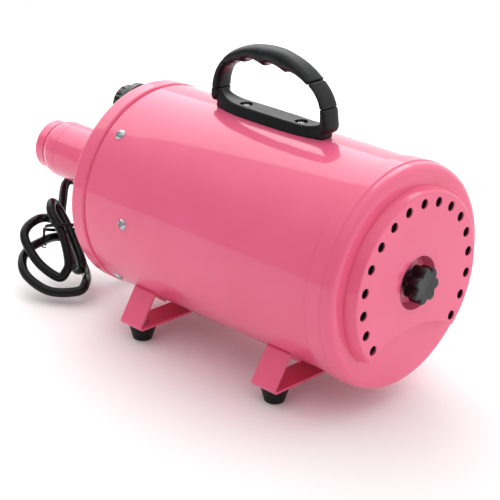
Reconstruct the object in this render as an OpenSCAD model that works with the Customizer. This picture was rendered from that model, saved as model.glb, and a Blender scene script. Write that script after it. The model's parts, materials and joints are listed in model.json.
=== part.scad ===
// Cylinder blower dryer for drying animals after a bath.
// +X points along the drum towards the air intake, +Z is up, and the floor is at z = 0.
// The origin is below the middle of the whole machine, from the outlet's end to the cover's knob.

/* [Drum] */
// Outside diameter of the drum
drum_d = 180; // [170:1:190]
// Thickness of the drum's sheet
drum_wall = 1.2; // [0.8:0.1:1.6]
// Height of the drum's axis above the floor
axis_h = 110; // [106:1:130]
// Distance from the middle of the drum to its front face
front_len = 140.5; // [136:0.5:146]
// Distance from the middle of the drum to the flat face of the rear cap
rear_len = 148.8; // [144:0.2:156]
// Width of the front cap's outer rim
rim_w = 16; // [12:1:18]

/* [Outlet] */
// Outside radius of the outlet pipe
pipe_r = 26.3; // [25:0.1:28]
// Radius of the lip that the hose cuff slides over
lip_r = 23.2; // [22:0.1:24]
// Distance from the middle of the drum to the end of the outlet
outlet_len = 269; // [240:1:290]

/* [Intake] */
// Radius of the intake cover's outer face
cover_r = 73.2; // [70:0.2:76]
// How far the cover stands off the rear cap
cover_depth = 10; // [9:0.5:12]
// Number of air holes in the cover
hole_count = 17; // [13:2:17]
// Angle between neighbouring air holes
hole_step = 16.33; // [15:0.01:16.5]
// Radius of each air hole
hole_r = 4.1; // [3:0.1:4.5]
// Radius of the circle that the air holes lie on
hole_ring_r = 64.2; // [63:0.2:65]
// Radius of the recess around the cover's knob
recess_r = 22; // [20:0.5:24]

/* [Handle] */
// Length of the handle along the drum
handle_len = 127.2; // [120:0.2:140]
// Height of the top of the grip above the drum's axis
handle_top = 151; // [148:0.2:158]
// Width of the handle
handle_w = 20; // [18:0.5:24]
// Distance between the two handle screws
handle_screw_gap = 60; // [56:0.2:64]

/* [Feet] */
// Distance between the two foot brackets
bracket_gap = 153.3; // [140:0.1:160]
// Width of each bracket's strap
bracket_w = 24.6; // [20:0.2:30]
// Distance from the middle to the bracket's lower corner
bracket_half = 81.2; // [78:0.2:86]
// Thickness of the bracket's strap
strap_t = 2; // [1.5:0.1:2.5]
// Height of each rubber foot
foot_h = 13.5; // [12:0.5:14]
// Distance from the middle to each foot
foot_half = 64.7; // [62:0.1:67]

/* [Controls] */
// Sideways place of the speed knob
knob_y = -8.5; // [-12:0.5:12]
// Height of the speed knob above the axis
knob_z = 68.5; // [66:0.5:69]
// Distance from the middle to each rocker switch
rocker_y = 60; // [58:1:62]
// Height of the rocker switches above the axis
rocker_z = 8; // [0:1:12]
// Angle that a rocker switch turns through
rocker_travel = 16; // [12:1:18]

/* [Motor] */
// Radius of the motor's can
can_r = 54; // [53:0.5:56]
// Radius of the armature
armature_r = 26; // [24:0.5:26]
// Radius of the motor shaft
shaft_r = 4; // [4:0.5:5]
// Running clearance between a shaft and its bearing
running_gap = 0.04; // [0.02:0.01:0.08]
// Radius of the fans
fan_r = 65; // [60:1:67]
// Number of blades on each fan
blade_count = 9; // [7:1:11]

/* [Mains cord] */
// Radius of the cord
cord_r = 4.2; // [3.8:0.1:4.3]
// Sideways place of the cord's exit
cord_y = 16; // [12:1:20]
// Height of the cord's exit above the axis
cord_z = -52; // [-54:1:-50]

/* [Hidden] */
fine = 128;
medium = 48;
drum_r = drum_d / 2;
drum_in = drum_r - drum_wall;
slack = 0.1;
sheet = 1.5;

front_x = -front_len;
rim_x = front_x + rim_w;
drum_x0 = rim_x + 2.6;
drum_x1 = rear_len - 10;
skirt_x = rim_x + 27;
cap_screw_x = rim_x + 15.4;
side_screw_x = -bracket_gap / 2;

cap_x = rear_len;
cap_r = drum_r + 2;
cap_skirt = 23;
cover_x = cap_x + cover_depth;
knob_end_x = cover_x + 9.5;
middle_shift = (outlet_len - knob_end_x) / 2;
cover_wall = 1.4;
cover_cut_r = 97.7;
cover_cut_z = -36.4;

screw_r = 2;
screw_head_r = 4.7;
screw_head_h = 2.6;

handle_x = 2.6;
seat_z = 98;

plate_z = foot_h - axis_h;
bracket_top = [62.8, -65.9];

plate_back = front_x + sheet;
funnel_r = 64;
bulkhead_x = -69;
can_x0 = -58;
can_x1 = 60;
stack_x = 25;
shell_r = 72;
shell_x = 104;

// ---- helpers -------------------------------------------------------------

// Everything is drawn about the drum's axis, with x = 0 midway between the foot brackets,
// and moved to its height and to the middle of the machine.
module lift() {
    translate([middle_shift, 0, axis_h])
        children();
}

// A turned piece: each point is [radius, x].
module turned(points) {
    rotate([0, 90, 0])
        rotate_extrude($fn = fine)
            polygon(points);
}

// A round bar along X from x0 to x1.
module bar(r, x0, x1, y = 0, z = 0, sides = medium) {
    translate([x0, y, z])
        rotate([0, 90, 0])
            cylinder(r = r, h = x1 - x0, $fn = sides);
}

// Puts a child that stands on the drum's top at an angle around the drum.
module around(angle, x, r) {
    rotate([angle, 0, 0])
        translate([x, 0, r])
            children();
}

function arc(cr, cx, r, a0, a1, n = 5) =
    [for (i = [0:n]) let (a = a0 + (a1 - a0) * i / n) [cr + r * cos(a), cx + r * sin(a)]];

// Cross-head pan screw whose head sits on z = 0 and whose shank runs down.
module pan_screw(length, head_r = screw_head_r, head_h = screw_head_h, shank_r = screw_r) {
    cross_w = 1.1;
    dome_r = (head_r * head_r + head_h * head_h) / (2 * head_h);
    difference() {
        intersection() {
            cylinder(r = head_r, h = head_h, $fn = medium);
            translate([0, 0, head_h - dome_r])
                sphere(r = dome_r, $fn = fine);
        }
        for (turn = [0, 90])
            rotate([0, 0, turn])
                translate([-head_r * 0.55, -cross_w / 2, head_h * 0.4])
                    cube([head_r * 1.1, cross_w, head_h]);
    }
    translate([0, 0, -length])
        cylinder(r = shank_r, h = length + head_h * 0.3, $fn = medium);
}

module hex_nut(across, thickness, bore_r) {
    difference() {
        cylinder(r = across / sqrt(3), h = thickness, $fn = 6);
        translate([0, 0, -1])
            cylinder(r = bore_r, h = thickness + 2, $fn = medium);
    }
}

cap_screw_angles = [-135, -45, 45, 135];
side_screw_angles = [-90, 90];
bracket_screw_angle = 141.5;

// ---- housing -------------------------------------------------------------

module body_tube() color("hotpink") lift() {
    hole = screw_r + slack;
    edge = 1;
    difference() {
        turned(concat(
            arc(drum_r - edge, drum_x0 + edge, edge, -90, 0, 3),
            [[drum_r, drum_x1], [drum_in, drum_x1], [drum_in, drum_x0]]
        ));
        for (a = cap_screw_angles)
            around(a, cap_screw_x, drum_in - 5)
                cylinder(r = hole, h = 20, $fn = medium);
        for (a = side_screw_angles)
            around(a, side_screw_x, drum_in - 5)
                cylinder(r = hole, h = 20, $fn = medium);
        for (side = [-1, 1], x = [-bracket_gap / 2, bracket_gap / 2])
            around(side * bracket_screw_angle, x, drum_in - 5)
                cylinder(r = hole, h = 20, $fn = medium);
        for (side = [-1, 1])
            translate([handle_x + side * handle_screw_gap / 2, 0, drum_in - 5])
                cylinder(r = hole + 0.4, h = 20, $fn = medium);
    }
}

// Drawn end cap: a flat face, an outer rim and a stepped-in skirt inside the drum.
module front_cap() color("hotpink") lift() {
    rim_r = drum_r + 0.8;
    step_r = drum_in - slack;
    corner = 3;
    back_corner = 2.2;
    profile = concat(
        [[pipe_r + 0.2, plate_back], [pipe_r + 0.2, front_x]],
        arc(rim_r - corner, front_x + corner, corner, -90, 0),
        arc(rim_r - back_corner, rim_x - back_corner, back_corner, 0, 90, 4),
        [[step_r, rim_x], [step_r, skirt_x], [step_r - sheet, skirt_x]],
        [[step_r - sheet, rim_x - sheet], [rim_r - sheet, rim_x - sheet]],
        arc(rim_r - corner, front_x + corner, corner - sheet, 0, -90, 3)
    );
    difference() {
        turned(profile);
        bar(4.9, front_x - 1, plate_back + 1, knob_y, knob_z);
        bar(7.6, front_x - 1, plate_back + 1, cord_y, cord_z);
        for (side = [-1, 1])
            translate([front_x - 1, side * rocker_y - 6.7, rocker_z - 9.7])
                cube([sheet + 2, 13.4, 19.4]);
        for (a = [45:90:315])
            around(a, front_x - 1, 34)
                rotate([0, 90, 0])
                    cylinder(r = 1.6, h = sheet + 2, $fn = medium);
        for (a = cap_screw_angles)
            around(a, cap_screw_x, step_r - 5)
                cylinder(r = screw_r + slack / 2, h = 20, $fn = medium);
    }
}

module front_cap_screws() color("silver") lift() {
    for (a = cap_screw_angles)
        around(a, cap_screw_x, drum_r + 0.05)
            pan_screw(length = 8);
}

module side_screws() color("silver") lift() {
    for (a = side_screw_angles)
        around(a, side_screw_x, drum_r + 0.05)
            pan_screw(length = 8);
}

// Drawn rear cap: a skirt over the drum, a stepped shoulder, and a flat face with the air slots.
module rear_cap() color("hotpink") lift() {
    wall = 1.6;
    shoulder = 6;
    shoulder_r = cap_r - 1;
    step_x = cap_x - 9;
    skirt_in = cap_r - wall;
    outside = concat(
        [[0, cap_x - cap_skirt], [cap_r, cap_x - cap_skirt]],
        [[cap_r, step_x - 1.4], [shoulder_r, step_x]],
        arc(shoulder_r - shoulder, cap_x - shoulder, shoulder, 0, 90),
        [[0, cap_x]]
    );
    inside = concat(
        [[0, cap_x - cap_skirt - 1], [skirt_in, cap_x - cap_skirt - 1], [skirt_in, step_x - 0.6]],
        [[shoulder_r - wall, step_x + 0.2]],
        arc(shoulder_r - shoulder, cap_x - shoulder, shoulder - wall, 0, 90, 3),
        [[0, cap_x - wall]]
    );
    difference() {
        turned(outside);
        turned(inside);
        bar(3.1, cap_x - wall - 1, cap_x + 1);
        translate([cap_x - wall - 1, 0, 0])
            rotate([0, 90, 0])
                linear_extrude(wall + 2)
                    air_slots();
    }
}

// Flat pattern of the rear cap's air slots; x points down.
module air_slots() {
    outer_r = 58;
    hub_r = 20;
    rib_w = 7;
    bottom_edge = 26;
    intersection() {
        difference() {
            circle(r = outer_r, $fn = fine);
            circle(r = hub_r, $fn = medium);
            for (turn = [0:36:179])
                rotate(turn)
                    square([4 * outer_r, rib_w], center = true);
        }
        translate([-2 * outer_r, -2 * outer_r])
            square([2 * outer_r + bottom_edge, 4 * outer_r]);
    }
}

// Cylinder that cuts the cover's lower edge to an arc.
module cover_cutter(grow = 0) {
    bar(cover_cut_r + grow, cap_x - 1, cover_x + 5, 0, cover_cut_z - cover_cut_r, fine);
}

// Pan-shaped intake cover with a ring of air holes and a central recess for its knob.
module intake_cover() color("hotpink") lift() {
    back_x = cap_x + slack;
    base_r = cover_r + 2;
    edge = 1.6;
    floor_x = back_x + cover_wall;
    floor_r = recess_r - 3;
    outer = concat(
        [[0, back_x], [base_r, back_x]],
        arc(cover_r - edge, cover_x - edge, edge, 0, 90),
        [[0, cover_x]]
    );
    inner = [[0, back_x - 1], [base_r - cover_wall, back_x - 1], [base_r - cover_wall, back_x],
        [cover_r - cover_wall, cover_x - cover_wall], [0, cover_x - cover_wall]];
    difference() {
        union() {
            difference() {
                turned(outer);
                turned(inner);
            }
            intersection() {
                cover_cutter(cover_wall);
                turned(outer);
            }
            turned([[0, back_x], [floor_r + cover_wall, back_x],
                [recess_r + cover_wall, cover_x - 1], [0, cover_x - 1]]);
        }
        cover_cutter();
        turned([[0, floor_x], [floor_r, floor_x], [recess_r - 0.4, cover_x - 0.8],
            [recess_r, cover_x + 1], [0, cover_x + 1]]);
        bar(3.3, back_x - 1, cover_x + 1);
        for (i = [0:hole_count - 1])
            around((i - (hole_count - 1) / 2) * hole_step, cover_x - 5, hole_ring_r)
                rotate([0, 90, 0])
                    cylinder(r = hole_r, h = 10, $fn = medium);
    }
}

module filter_foam() color("dimgray") lift() {
    gap = 0.6;
    difference() {
        bar(cover_r - cover_wall - gap, cap_x + gap, cover_x - cover_wall - gap, sides = fine);
        cover_cutter(cover_wall + gap);
        bar(recess_r + cover_wall + gap, cap_x - 1, cover_x + 1);
    }
}

module cover_stud() color("silver") lift() {
    bar(2.95, cap_x - 3, cover_x + 6);
    bar(8, cap_x - 4.6, cap_x - 1.7);
}

washer_x = cap_x + slack + cover_wall + 0.05;

module knob_washer() color("silver") lift() {
    difference() {
        bar(10, washer_x, washer_x + 1.2);
        bar(3.2, washer_x - 1, washer_x + 3);
    }
}

// Seven-lobed clamping knob.
module cover_knob() color("black") lift() {
    hub_x = washer_x + 1.25;
    crown = 1.5;
    head_t = 11;
    head_x = knob_end_x - crown - head_t;
    lobes = 7;
    first_lobe = 100;
    lobe_r = 4.3;
    reach = 15.4;
    difference() {
        union() {
            bar(8.5, hub_x, head_x + 1);
            translate([head_x, 0, 0])
                rotate([0, 90, 0])
                    linear_extrude(head_t) {
                        circle(r = 12, $fn = medium);
                        for (i = [0:lobes - 1])
                            rotate(first_lobe + i * 360 / lobes)
                                translate([reach - lobe_r, 0])
                                    circle(r = lobe_r, $fn = medium);
                    }
            bar(9, head_x + head_t - 1, knob_end_x);
        }
        bar(2.95 + running_gap, hub_x - 1, cover_x + 6.5);
    }
}

// ---- outlet --------------------------------------------------------------

collar_x = -outlet_len + 28;
collar_lap = 6;
pipe_bore = pipe_r - 2.2;
neck_r = pipe_r - 0.9;

module outlet_pipe() color("hotpink") lift() {
    flange_r = 41;
    end_x = collar_x - collar_lap + 0.5;
    difference() {
        turned([[pipe_bore, end_x], [neck_r, end_x], [neck_r, collar_x + 0.1],
            [pipe_r, collar_x + 0.1], [pipe_r, front_x - 1.9], [flange_r, front_x - 1.9],
            [flange_r, front_x - 0.05], [pipe_r, front_x - 0.05],
            [pipe_r, plate_back + 0.5], [pipe_bore, plate_back + 0.5]]);
        for (a = [45:90:315])
            around(a, front_x - 5, 34)
                rotate([0, 90, 0])
                    cylinder(r = 1.6, h = 10, $fn = medium);
    }
}

// Hose end: a lip, a groove, and a body that swells to a sleeve over the pipe's neck.
module hose_collar() color("hotpink") lift() {
    end_x = -outlet_len;
    lip_w = 9.6;
    groove = 1.4;
    body_x = end_x + lip_w + groove;
    sleeve_r = pipe_r + 0.1;
    swell = sleeve_r - lip_r;
    swell_len = 9;
    swell_r = (swell_len * swell_len + swell * swell) / (2 * swell);
    profile = concat(
        [[lip_r - 1.6, end_x], [lip_r, end_x], [lip_r, end_x + lip_w]],
        [[lip_r - 0.9, end_x + lip_w], [lip_r - 0.9, body_x]],
        arc(sleeve_r - swell_r, body_x + swell_len, swell_r, -asin(swell_len / swell_r), 0, 6),
        [[sleeve_r, collar_x], [neck_r + 0.05, collar_x], [neck_r + 0.05, collar_x - collar_lap]],
        [[pipe_bore, collar_x - collar_lap], [lip_r - 1.6, end_x + lip_w + 5]]
    );
    turned(profile);
}

module outlet_screws() color("silver") lift() {
    for (a = [45:90:315])
        around(a, front_x - 1.95, 34)
            rotate([0, -90, 0])
                pan_screw(length = 7, head_r = 3, head_h = 1.7, shank_r = 1.5);
}

// ---- controls ------------------------------------------------------------

// Fluted knob on a wide skirt, hollow behind so that it clears the nut.
module speed_knob() color("black") lift() translate([0, knob_y, knob_z]) {
    skirt_x = front_x - 3.5;
    grip_x = front_x - 11.5;
    end_x = front_x - 24;
    flutes = 14;
    difference() {
        turned([
            [0, end_x], [13.6, end_x], [15.2, end_x + 1.6], [15.2, grip_x],
            [19, grip_x], [19.6, grip_x + 1], [20, skirt_x], [17.5, skirt_x],
            [17.5, skirt_x - 2.5], [9.5, skirt_x - 4.5], [0, skirt_x - 4.5]
        ]);
        for (i = [0:flutes - 1])
            around(i * 360 / flutes, 0, 16.6)
                bar(2.3, end_x - 1, grip_x - 0.8, sides = 24);
        bar(3.05, end_x + 5, skirt_x);
    }
}

module speed_pot() color("darkseagreen") lift() translate([0, knob_y, knob_z]) {
    difference() {
        union() {
            bar(12, plate_back + 0.2, plate_back + 11);
            bar(4.7, front_x - 5, plate_back + 1);
        }
        bar(3 + running_gap, front_x - 8, plate_back + 9);
    }
}

module pot_shaft() color("silver") lift() translate([0, knob_y, knob_z])
    bar(3, front_x - 18.5, plate_back + 8.8);

module pot_nut() color("silver") lift() translate([front_x - 0.1, knob_y, knob_z])
    rotate([0, -90, 0])
        hex_nut(across = 12, thickness = 2.4, bore_r = 4.75);

// Snap-in rocker switch body with a bezel in front of the face and a box behind it.
module switch_body(side) {
    translate([front_x, side * rocker_y, rocker_z])
        difference() {
            union() {
                translate([-2, -7.5, -10.5])
                    cube([1.95, 15, 21]);
                translate([-0.5, -6.5, -9.5])
                    cube([17, 13, 19]);
                for (z = [-5, 0, 5])
                    translate([16, -0.4, z - 2.4])
                        cube([7, 0.8, 4.8]);
            }
            translate([-3, -4.7, -8.2])
                cube([12, 9.4, 16.4]);
            translate([1, -5.5, 0])
                rotate([-90, 0, 0])
                    cylinder(r = 1.2 + running_gap, h = 11, $fn = medium);
        }
}

// Rocker with two facets and a pivot pin, drawn tilted to its off position.
module rocker(side) {
    half_w = 4.5;
    translate([front_x + 1, side * rocker_y, rocker_z])
        rotate([0, -rocker_travel / 2, 0]) {
            rotate([90, 0, 0])
                translate([0, 0, -half_w])
                    linear_extrude(2 * half_w)
                        polygon([
                            [3, -3.5], [3, 3.5], [-1.5, 7.2], [-6, 7.2],
                            [-3.6, 0], [-6, -7.2], [-1.5, -7.2]
                        ]);
            translate([0, -half_w - 0.8, 0])
                rotate([-90, 0, 0])
                    cylinder(r = 1.2, h = 2 * half_w + 1.6, $fn = medium);
        }
}

module power_switch() color("black") lift() switch_body(-1);

module power_rocker() color("black") lift() rocker(-1);

module heat_switch() color("black") lift() switch_body(1);

module heat_rocker() color("firebrick") lift() rocker(1);

// ---- mains cord ----------------------------------------------------------

// Ribbed strain relief boot.
module strain_relief() color("black") lift() translate([0, cord_y, cord_z]) {
    ribs = 5;
    rib_pitch = 4.2;
    difference() {
        union() {
            bar(8.6, front_x - 3, front_x - 0.05);
            bar(7.4, front_x - 1, plate_back + 0.1);
            bar(8.6, plate_back + 0.05, plate_back + 2.5);
            turned([[0, front_x - 25], [5.4, front_x - 25], [6, front_x - 2], [0, front_x - 2]]);
            for (i = [0:ribs - 1])
                bar(7.4 - i * 0.28, front_x - 6.5 - i * rib_pitch, front_x - 4.2 - i * rib_pitch);
        }
        bar(cord_r + 0.15, front_x - 30, plate_back + 5);
    }
}

// The cord's bundle lies in a plane that leans back over the floor.
bundle_yaw = 42.5;
bundle_lean = 46;
bundle_x = front_x - 40.7;
bundle_at = [bundle_x, -60, -90];
across = [cos(bundle_yaw), sin(bundle_yaw), 0];
uphill = [-sin(bundle_yaw) * sin(bundle_lean), cos(bundle_yaw) * sin(bundle_lean), cos(bundle_lean)];
outward = cross(across, uphill);

function in_bundle(p) = bundle_at + p[0] * across + p[1] * uphill + p[2] * outward;

// Guide points of the bundle: across, uphill and outward from the plane, in mm.
back_strand = [[-9, 111, -29], [-13, 82, -16], [-10, 51, -13], [1, 22, -13], [7, 12, -9]];
middle_strand = [[12, 11, -2], [11, 18, 4], [-2, 46, 3], [-12, 64, 1]];
front_strand = [[-17, 69, 7], [-19, 66, 14], [-17, 54, 18], [-6, 36, 15], [1, 13, 9]];
small_loop_low = [[-1, 4, 4], [-8, 0, 0], [-26, 12, 1]];
small_loop_high = [[-40, 32, 3], [-41, 46, 1], [-31, 59, -5], [-20, 67, -24]];
right_strand = [[-9, 58, -26], [2, 38, -24], [14, 14, -18]];
large_loop_low = [[17, -3, -1], [11, -13, 1], [-15, -14, 1], [-37, 1, 0]];
large_loop_high = [[-42, 21, -6], [-31, 38, -13], [-11, 55, -36]];
bundle_guide = concat(
    back_strand, middle_strand, front_strand,
    small_loop_low, small_loop_high, right_strand, large_loop_low, large_loop_high
);

plug_at = [bundle_x + 4, 34, -96];
lead_in = [
    [plate_back + 12, cord_y, cord_z], [front_x - 10, cord_y, cord_z],
    [front_x - 24, cord_y, cord_z], [front_x - 36, cord_y, cord_z],
    [front_x - 70, cord_y + 2, cord_z + 10]
];
lead_out = [
    [bundle_x - 8, -10, -88], plug_at - [1, 30, 2],
    plug_at - [0, 8, 0], plug_at + [0, 4, 0]
];
cord_guide = concat(lead_in, [for (p = bundle_guide) in_bundle(p)], lead_out);

// Smooth curve through the guide points.
steps = 3;
function smooth(a, b, c, d, t) =
    b + 0.5 * t * (c - a + t * (2 * a - 5 * b + 4 * c - d + t * (3 * b - a - 3 * c + d)));
function guide(i) = cord_guide[max(0, min(len(cord_guide) - 1, i))];
cord_line = concat(
    [for (i = [0:len(cord_guide) - 2], k = [0:steps - 1])
        smooth(guide(i - 1), guide(i), guide(i + 1), guide(i + 2), k / steps)],
    [guide(len(cord_guide) - 1)]
);
cord_end = len(cord_line) - 1;

function unit(v) = v / norm(v);
function heading(i) = unit(cord_line[min(i + 1, cord_end)] - cord_line[max(i - 1, 0)]);
// Carries a sideways direction along the cord without twist.
function carried(i, side) = let (h = heading(min(i, cord_end))) unit(side - h * (side * h));
sides_along = [
    for (i = 0, s = carried(0, [0, 0, 1]); i <= cord_end; i = i + 1, s = carried(i, s)) s
];

// Faces of a round rod drawn as rings of points: its walls and its two ends.
function rod_faces(rings, ring) = concat(
    [for (i = [0:rings - 2], k = [0:ring - 1])
        let (a = i * ring + k, b = i * ring + (k + 1) % ring)
            [a, b, b + ring, a + ring]],
    [[for (k = [ring - 1:-1:0]) k], [for (k = [0:ring - 1]) (rings - 1) * ring + k]]
);

module power_cord() color("black") lift() {
    ring = 10;
    points = [for (i = [0:cord_end], k = [0:ring - 1])
        let (s = sides_along[i], t = cross(heading(i), s), a = 360 * k / ring)
            cord_line[i] + cord_r * (cos(a) * s + sin(a) * t)];
    polyhedron(points, rod_faces(cord_end + 1, ring));
}

// Twist tie around the middle of the bundle.
module cord_tie() color("black") lift() {
    tie_at = in_bundle([-10, 50, -6]);
    tie_w = 3;
    tie_t = 1;
    tie_turn = 10;
    tie_lean = 20;
    translate(tie_at)
        rotate([0, 0, bundle_yaw + tie_turn])
            rotate([tie_lean - bundle_lean, 0, 0])
                linear_extrude(tie_w)
                    difference() {
                        tie_oval(tie_t);
                        tie_oval(0);
                    }
}

module tie_oval(grow) {
    end_r = 14.5;
    half_gap = 15.5;
    hull()
        for (side = [-1, 1])
            translate([0, side * half_gap])
                circle(r = end_r + grow, $fn = 32);
}

module mains_plug() color("black") lift() translate(plug_at) rotate([-90, 0, 0]) {
    difference() {
        union() {
            cylinder(r1 = 6.5, r2 = 9, h = 14, $fn = medium);
            translate([0, 0, 13])
                cylinder(r = 13, h = 26, $fn = medium);
        }
        translate([0, 0, -1])
            cylinder(r = cord_r + 0.2, h = 6, $fn = medium);
        for (side = [-1, 1])
            translate([side * 9.5, 0, 33])
                cylinder(r = 2.45, h = 10, $fn = medium);
    }
}

module plug_pins() color("gold") lift() translate(plug_at) rotate([-90, 0, 0])
    for (side = [-1, 1])
        translate([side * 9.5, 0, 33.2])
            cylinder(r = 2.4, h = 24, $fn = medium);

// ---- handle --------------------------------------------------------------

// Side outlines of the handle, x along the drum and y up. Each is a superellipse above its
// spring line, with one power on the left and another on the right.
outer_spring = 99.3;
inner_spring = 104;
inner_top = 135.6;
leg_gap = 109.4;

function bend(a, power) = sign(a) * pow(abs(a), 2 / power);

module arch_outline(half, rise, spring, left_power, right_power) {
    turns = 48;
    translate([handle_x, spring])
        polygon([for (i = [0:turns])
            let (a = 180 * i / turns, power = a < 90 ? right_power : left_power)
                [half * bend(cos(a), power), rise * bend(sin(a), power)]]);
}

module handle_outer(inset = 0) {
    arch_outline(handle_len / 2 - inset, handle_top - outer_spring - inset, outer_spring, 2.3, 1.85);
}

module handle_inner(inset = 0) {
    arch_outline(leg_gap / 2 + inset, inner_top - inner_spring + inset, inner_spring, 3.1, 3.2);
}

module upright(width) {
    translate([0, width / 2, 0])
        rotate([90, 0, 0])
            linear_extrude(width)
                children();
}

left_joint_z = 106;
right_joint_z = 115;
grip_half = 51;

module grip_zone(grow = 0) {
    translate([handle_x - grip_half - grow, 100])
        square([2 * (grip_half + grow), 80]);
}

// Everything below the joints between the base and the arch.
module below_joints(grow = 0) {
    translate([handle_x - 100, left_joint_z - 100 + grow])
        square([100, 100]);
    translate([handle_x, right_joint_z - 100 + grow])
        square([100, 100]);
}

// Base outline seen from above: wide in the middle and narrower at its ends.
module boat_outline() {
    half = 57.3;
    end_w = 6.5;
    swell = 5.3;
    turns = 24;
    polygon([for (side = [-1, 1], i = [-turns:turns])
        let (u = i / turns)
            [handle_x + half * u * side, -side * (end_w + swell * (1 - pow(abs(u), 3)))]]);
}

// Boat-shaped base that sits on the drum, with a flat floor and a post at each end.
module handle_base() color("black") lift() {
    post_z = 95.5;
    difference() {
        union() {
            upright(handle_w)
                difference() {
                    intersection() {
                        union() {
                            handle_outer();
                            translate([handle_x - handle_len / 2, post_z])
                                square([handle_len, outer_spring - post_z + 0.01]);
                        }
                        below_joints();
                    }
                    handle_inner();
                    translate([handle_x - leg_gap / 2, seat_z])
                        square([leg_gap, inner_spring - seat_z + 0.01]);
                }
            translate([0, 0, 80])
                linear_extrude(seat_z - 80)
                    boat_outline();
        }
        bar(drum_r + 0.1, -front_len, rear_len, sides = fine);
        for (side = [-1, 1])
            translate([handle_x + side * handle_screw_gap / 2, 0, 0]) {
                cylinder(r = 2.6, h = 200, $fn = medium);
                translate([0, 0, seat_z - 3.5])
                    cylinder(r = 5.4, h = 20, $fn = medium);
            }
    }
}

// Arch above the base; it is thinner where the grip sleeve covers it.
module handle_arch() color("black") lift() {
    core = 2.6;
    core_z = 120;
    upright(handle_w - 1)
        difference() {
            handle_outer();
            handle_inner();
            below_joints(0.1);
            grip_zone(0.1);
        }
    upright(handle_w - 1 - 2 * core)
        difference() {
            handle_outer(core);
            handle_inner(core);
            translate([-200, core_z - 200])
                square([400, 200]);
        }
}

module grip_sleeve() color("black") lift() {
    core = 2.6;
    fit = 0.1;
    sleeve_z = 124;
    difference() {
        upright(handle_w)
            difference() {
                intersection() {
                    handle_outer();
                    grip_zone();
                }
                handle_inner();
                translate([-200, sleeve_z - 200])
                    square([400, 200]);
            }
        upright(handle_w - 1 - 2 * core + 2 * fit)
            difference() {
                handle_outer(core - fit);
                handle_inner(core - fit);
            }
    }
}

module handle_screws() color("silver") lift() {
    for (side = [-1, 1])
        translate([handle_x + side * handle_screw_gap / 2, 0, seat_z - 3.4])
            pan_screw(length = 18, head_r = 4.4, head_h = 2.6, shank_r = 2.4);
}

module handle_nuts() color("silver") lift() {
    for (side = [-1, 1])
        translate([handle_x + side * handle_screw_gap / 2, 0, drum_in - 4.3])
            hex_nut(across = 8, thickness = 4, bore_r = 2.45);
}

// ---- feet ----------------------------------------------------------------

// Bent strap seen along the drum: x is sideways and y is up.
module strap_outline() {
    lean = (bracket_half - bracket_top[0]) / (bracket_top[1] - plate_z);
    side_t = strap_t * sqrt(1 + lean * lean);
    floor_half = bracket_half - side_t - lean * strap_t;
    above = [bracket_top[0] - side_t - lean, bracket_top[1] + 1];
    bend_r = 1;
    difference() {
        rounded(bend_r + strap_t)
            polygon([
                [-bracket_half, plate_z], [bracket_half, plate_z],
                bracket_top, [-bracket_top[0], bracket_top[1]]
            ]);
        rounded(bend_r)
            polygon([
                [-floor_half, plate_z + strap_t], [floor_half, plate_z + strap_t],
                above, [-above[0], above[1]]
            ]);
        circle(r = drum_r + 0.1, $fn = fine);
    }
    intersection() {
        difference() {
            circle(r = drum_r + 0.1 + strap_t, $fn = fine);
            circle(r = drum_r + 0.1, $fn = fine);
        }
        for (side = [-1, 1])
            polygon([
                [0, 0],
                [side * 200 * sin(33), -200 * cos(33)],
                [side * 200 * sin(43), -200 * cos(43)]
            ]);
    }
}

// Rounds the outer corners of a flat outline.
module rounded(corner) {
    offset(r = corner, $fn = 32)
        offset(delta = -corner)
            children();
}

module foot_bracket(x) {
    difference() {
        translate([x - bracket_w / 2, 0, 0])
            rotate([90, 0, 90])
                linear_extrude(bracket_w)
                    strap_outline();
        for (side = [-1, 1]) {
            translate([x, side * foot_half, plate_z - 1])
                cylinder(r = 2.6, h = strap_t + 2, $fn = medium);
            around(side * bracket_screw_angle, x, drum_r - 2)
                cylinder(r = screw_r + slack, h = 8, $fn = medium);
        }
    }
}

module foot_bracket_front() color("hotpink") lift() foot_bracket(-bracket_gap / 2);

module foot_bracket_rear() color("hotpink") lift() foot_bracket(bracket_gap / 2);

module bracket_screws() color("silver") lift() {
    for (side = [-1, 1], x = [-bracket_gap / 2, bracket_gap / 2])
        around(side * bracket_screw_angle, x, drum_r + 0.15 + strap_t)
            pan_screw(length = 9, head_r = 4, head_h = 2.2);
}

// Tapered rubber foot with a counterbore for its bolt.
module rubber_foot(end, side) {
    top_r = 12;
    sole_r = 8.5;
    soft = 1.5;
    translate([end * bracket_gap / 2, side * foot_half, -axis_h])
        rotate_extrude($fn = medium)
            polygon([
                [5.5, 0], [sole_r - soft, 0], [sole_r - soft * 0.3, soft * 0.3],
                [sole_r, soft], [top_r, foot_h - 0.05], [2.6, foot_h - 0.05],
                [2.6, 6], [5.5, 6]
            ]);
}

module foot_front_left() color("black") lift() rubber_foot(-1, 1);

module foot_front_right() color("black") lift() rubber_foot(-1, -1);

module foot_rear_left() color("black") lift() rubber_foot(1, 1);

module foot_rear_right() color("black") lift() rubber_foot(1, -1);

module foot_bolts() color("silver") lift() {
    for (x = [-1, 1], y = [-1, 1])
        translate([x * bracket_gap / 2, y * foot_half, 5.9 - axis_h])
            rotate([180, 0, 0])
                pan_screw(length = 17, head_r = 4.6, head_h = 2.8, shank_r = 2.4);
}

module foot_nuts() color("silver") lift() {
    for (x = [-1, 1], y = [-1, 1])
        translate([x * bracket_gap / 2, y * foot_half, plate_z + strap_t + 0.05])
            hex_nut(across = 8, thickness = 4, bore_r = 2.45);
}

// ---- motor and fan -------------------------------------------------------

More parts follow.
